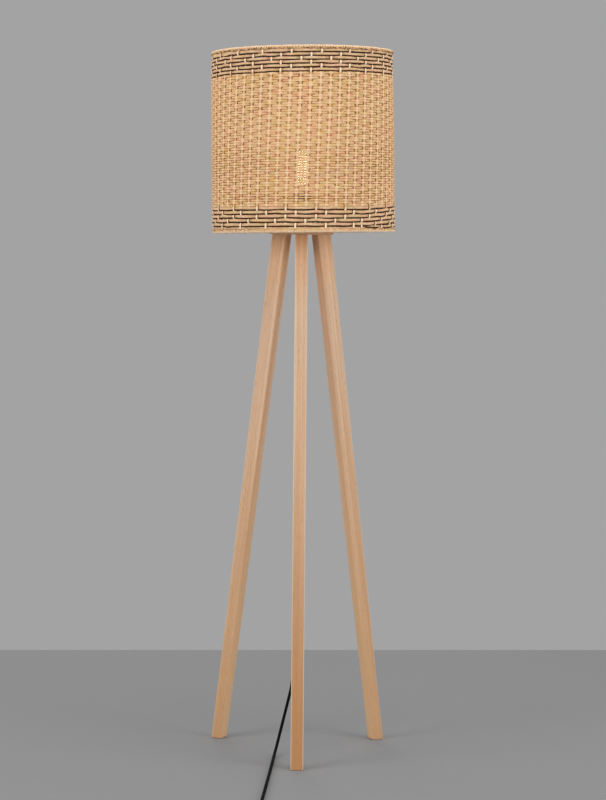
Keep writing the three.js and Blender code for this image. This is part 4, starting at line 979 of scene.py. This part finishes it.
row_courses = [[] for _ in range(STAKES)]  # a stake's heights and radial places at its rows
weave_body(row_courses)
weave_bands(row_courses)
stand_stakes(row_courses)

# Borders: a bundle wrapped with one flat strand

BORDER_WRAPS, WRAP_STEPS = 217, 18
BORDER_DEEP, BORDER_TALL, WRAP_THICK, WRAP_WIDE = 2.75, 3.95, 0.65, 2.95
BUNDLE_INSET, BUNDLE_SIDES = 0.5, 10
WRAP_FRAY, WRAP_LEAN = 0.25, 0.9


def near_turn(angle, degrees, reach):
    """The same as near for angles round a border's section."""
    return near((np.degrees(angle) - degrees + 180) % 360 - 180, 0, reach)


def border(side, radius, middle, up, raised_highlight, hollow_shade):
    """A border: up is 1 where the wall meets it from below, and -1 where from above."""
    t = np.arange(BORDER_WRAPS * WRAP_STEPS) / WRAP_STEPS * TAU
    fray = WRAP_FRAY * eased(t / TAU, rng.normal(0, 1, BORDER_WRAPS), 0.0, "wrap")
    around = (t + WRAP_LEAN * np.sin(t)) / BORDER_WRAPS
    deep, tall = BORDER_DEEP + fray, BORDER_TALL + fray
    wrap = on_wall(around, radius + deep * np.cos(t), middle + tall * np.sin(t))
    # painted highlight on each wrap's outer side away from the wall, and painted shade on the side toward it
    value = raised_highlight * near_turn(up * t, 60, 45) - hollow_shade * near_turn(up * t, -32, 30)
    rings = settled(strap(wrap, WRAP_THICK, WRAP_WIDE, round_wall(around), 8, True, 0.8))
    binding = Skin().strand(rings, closed=True, value=value)
    deep, tall = BORDER_DEEP - BUNDLE_INSET, BORDER_TALL - BUNDLE_INSET
    turn = np.arange(BUNDLE_SIDES) * TAU / BUNDLE_SIDES
    bundle = np.column_stack([radius + deep * np.cos(turn), middle + tall * np.sin(turn)])
    # the bundle's value of -0.6 paints shade on it
    binding.shell(settled(lathe(bundle, 2 * STAKES)), (0.2, 0.5, -0.6), closed=True)
    binding.build(f"shade_plait_{side}", border_straw, "straw", f"shade_border_{side}", sharp=80)


border("upper", 196.4, 1520.2, 1, 0.8, 1.5)
border("lower", 195.3, 1139.9, -1, 1.5, 0.9)

# Wire rings and spider

RING, RING_WIRE, ARM_WIRE = 189.8, 2.2, 2.0
FITTER = [(20.1, 1187.4), (28.7, 1187.4), (29, 1187.7), (29, 1188.6), (28.7, 1188.9), (20.1, 1188.9)]
ARM = [(24.4, 0, 1188.1), (37, 0, 1188.1), (175, 0, 1151.3), (189.5, 0, 1151.1)]
for side_name, ring_height in (("upper", 1508.8), ("lower", 1151.1)):
    section = arc((RING, ring_height), RING_WIRE, 0, 330, 12)
    Skin().shell(settled(lathe(section, 128)), closed=True).build(
        f"shade_wire_{side_name}", black_steel, "black_steel", f"shade_ring_{side_name}", sharp=60)
spider = Skin().shell(lathe(FITTER, 96), closed=True)
arm = centripetal(ARM, 12)
for azimuth in (90, 210, 330):
    spider.shell(settled(tube(about_z(arm, azimuth), ARM_WIRE)))
spider.build("shade_spider_wire", black_steel, "black_steel", "shade_spider")

# Filament: one fine wire, up and down between its hooks

FILAMENT_RADIUS, FILAMENT_RUNS, FILAMENT_BEND = 0.4, 16, 1.5
lowest, highest = box_mm("bulb_filament")
cage = (highest[0] - lowest[0]) / 2 - FILAMENT_RADIUS
run_heights = np.linspace(lowest[2] + FILAMENT_BEND, highest[2] - FILAMENT_BEND, 5)
wire = []
for run in range(FILAMENT_RUNS):
    angle = (run + 0.5) * TAU / FILAMENT_RUNS
    heights = run_heights[::-1] if run % 2 else run_heights
    wire += [(cage * math.cos(angle), cage * math.sin(angle), height) for height in heights]
Skin().shell(tube(centripetal(wire, 6), FILAMENT_RADIUS, 8)).build(
    "bulb_filament_wire", glow, "filament", "bulb_filament", "bulb")


# Nodes that keep their shape

def of_legs(*kinds):
    return [f"leg_{kind}_{side}" for kind in kinds for side in LEG_SIDES]


def dress(material, *names):
    """Gives CAD nodes that stay a material of their own."""
    for name in names:
        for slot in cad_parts[name].material_slots:
            slot.link, slot.material = "OBJECT", material


dress(steel, *of_legs("bolt", "washer"), "stem_tube", "stem_washer", "stem_nut_lower", "stem_nut_upper",
      "bulb_tip", "switch_screw_1", "switch_screw_2")
dress(brass, *of_legs("insert"), "holder_contact", "holder_screw_shell")
dress(hub_wood, *of_legs("dowel"))
dress(black_plastic, "cord_grip", "holder_cap", "holder_sleeve", "shade_nut", "bulb_insulator")
dress(ceramic, "holder_core")
dress(aluminium, "bulb_cap")
dress(glass, "bulb_glass", "bulb_stem")

bpy.context.scene.view_settings.view_transform = "Standard"
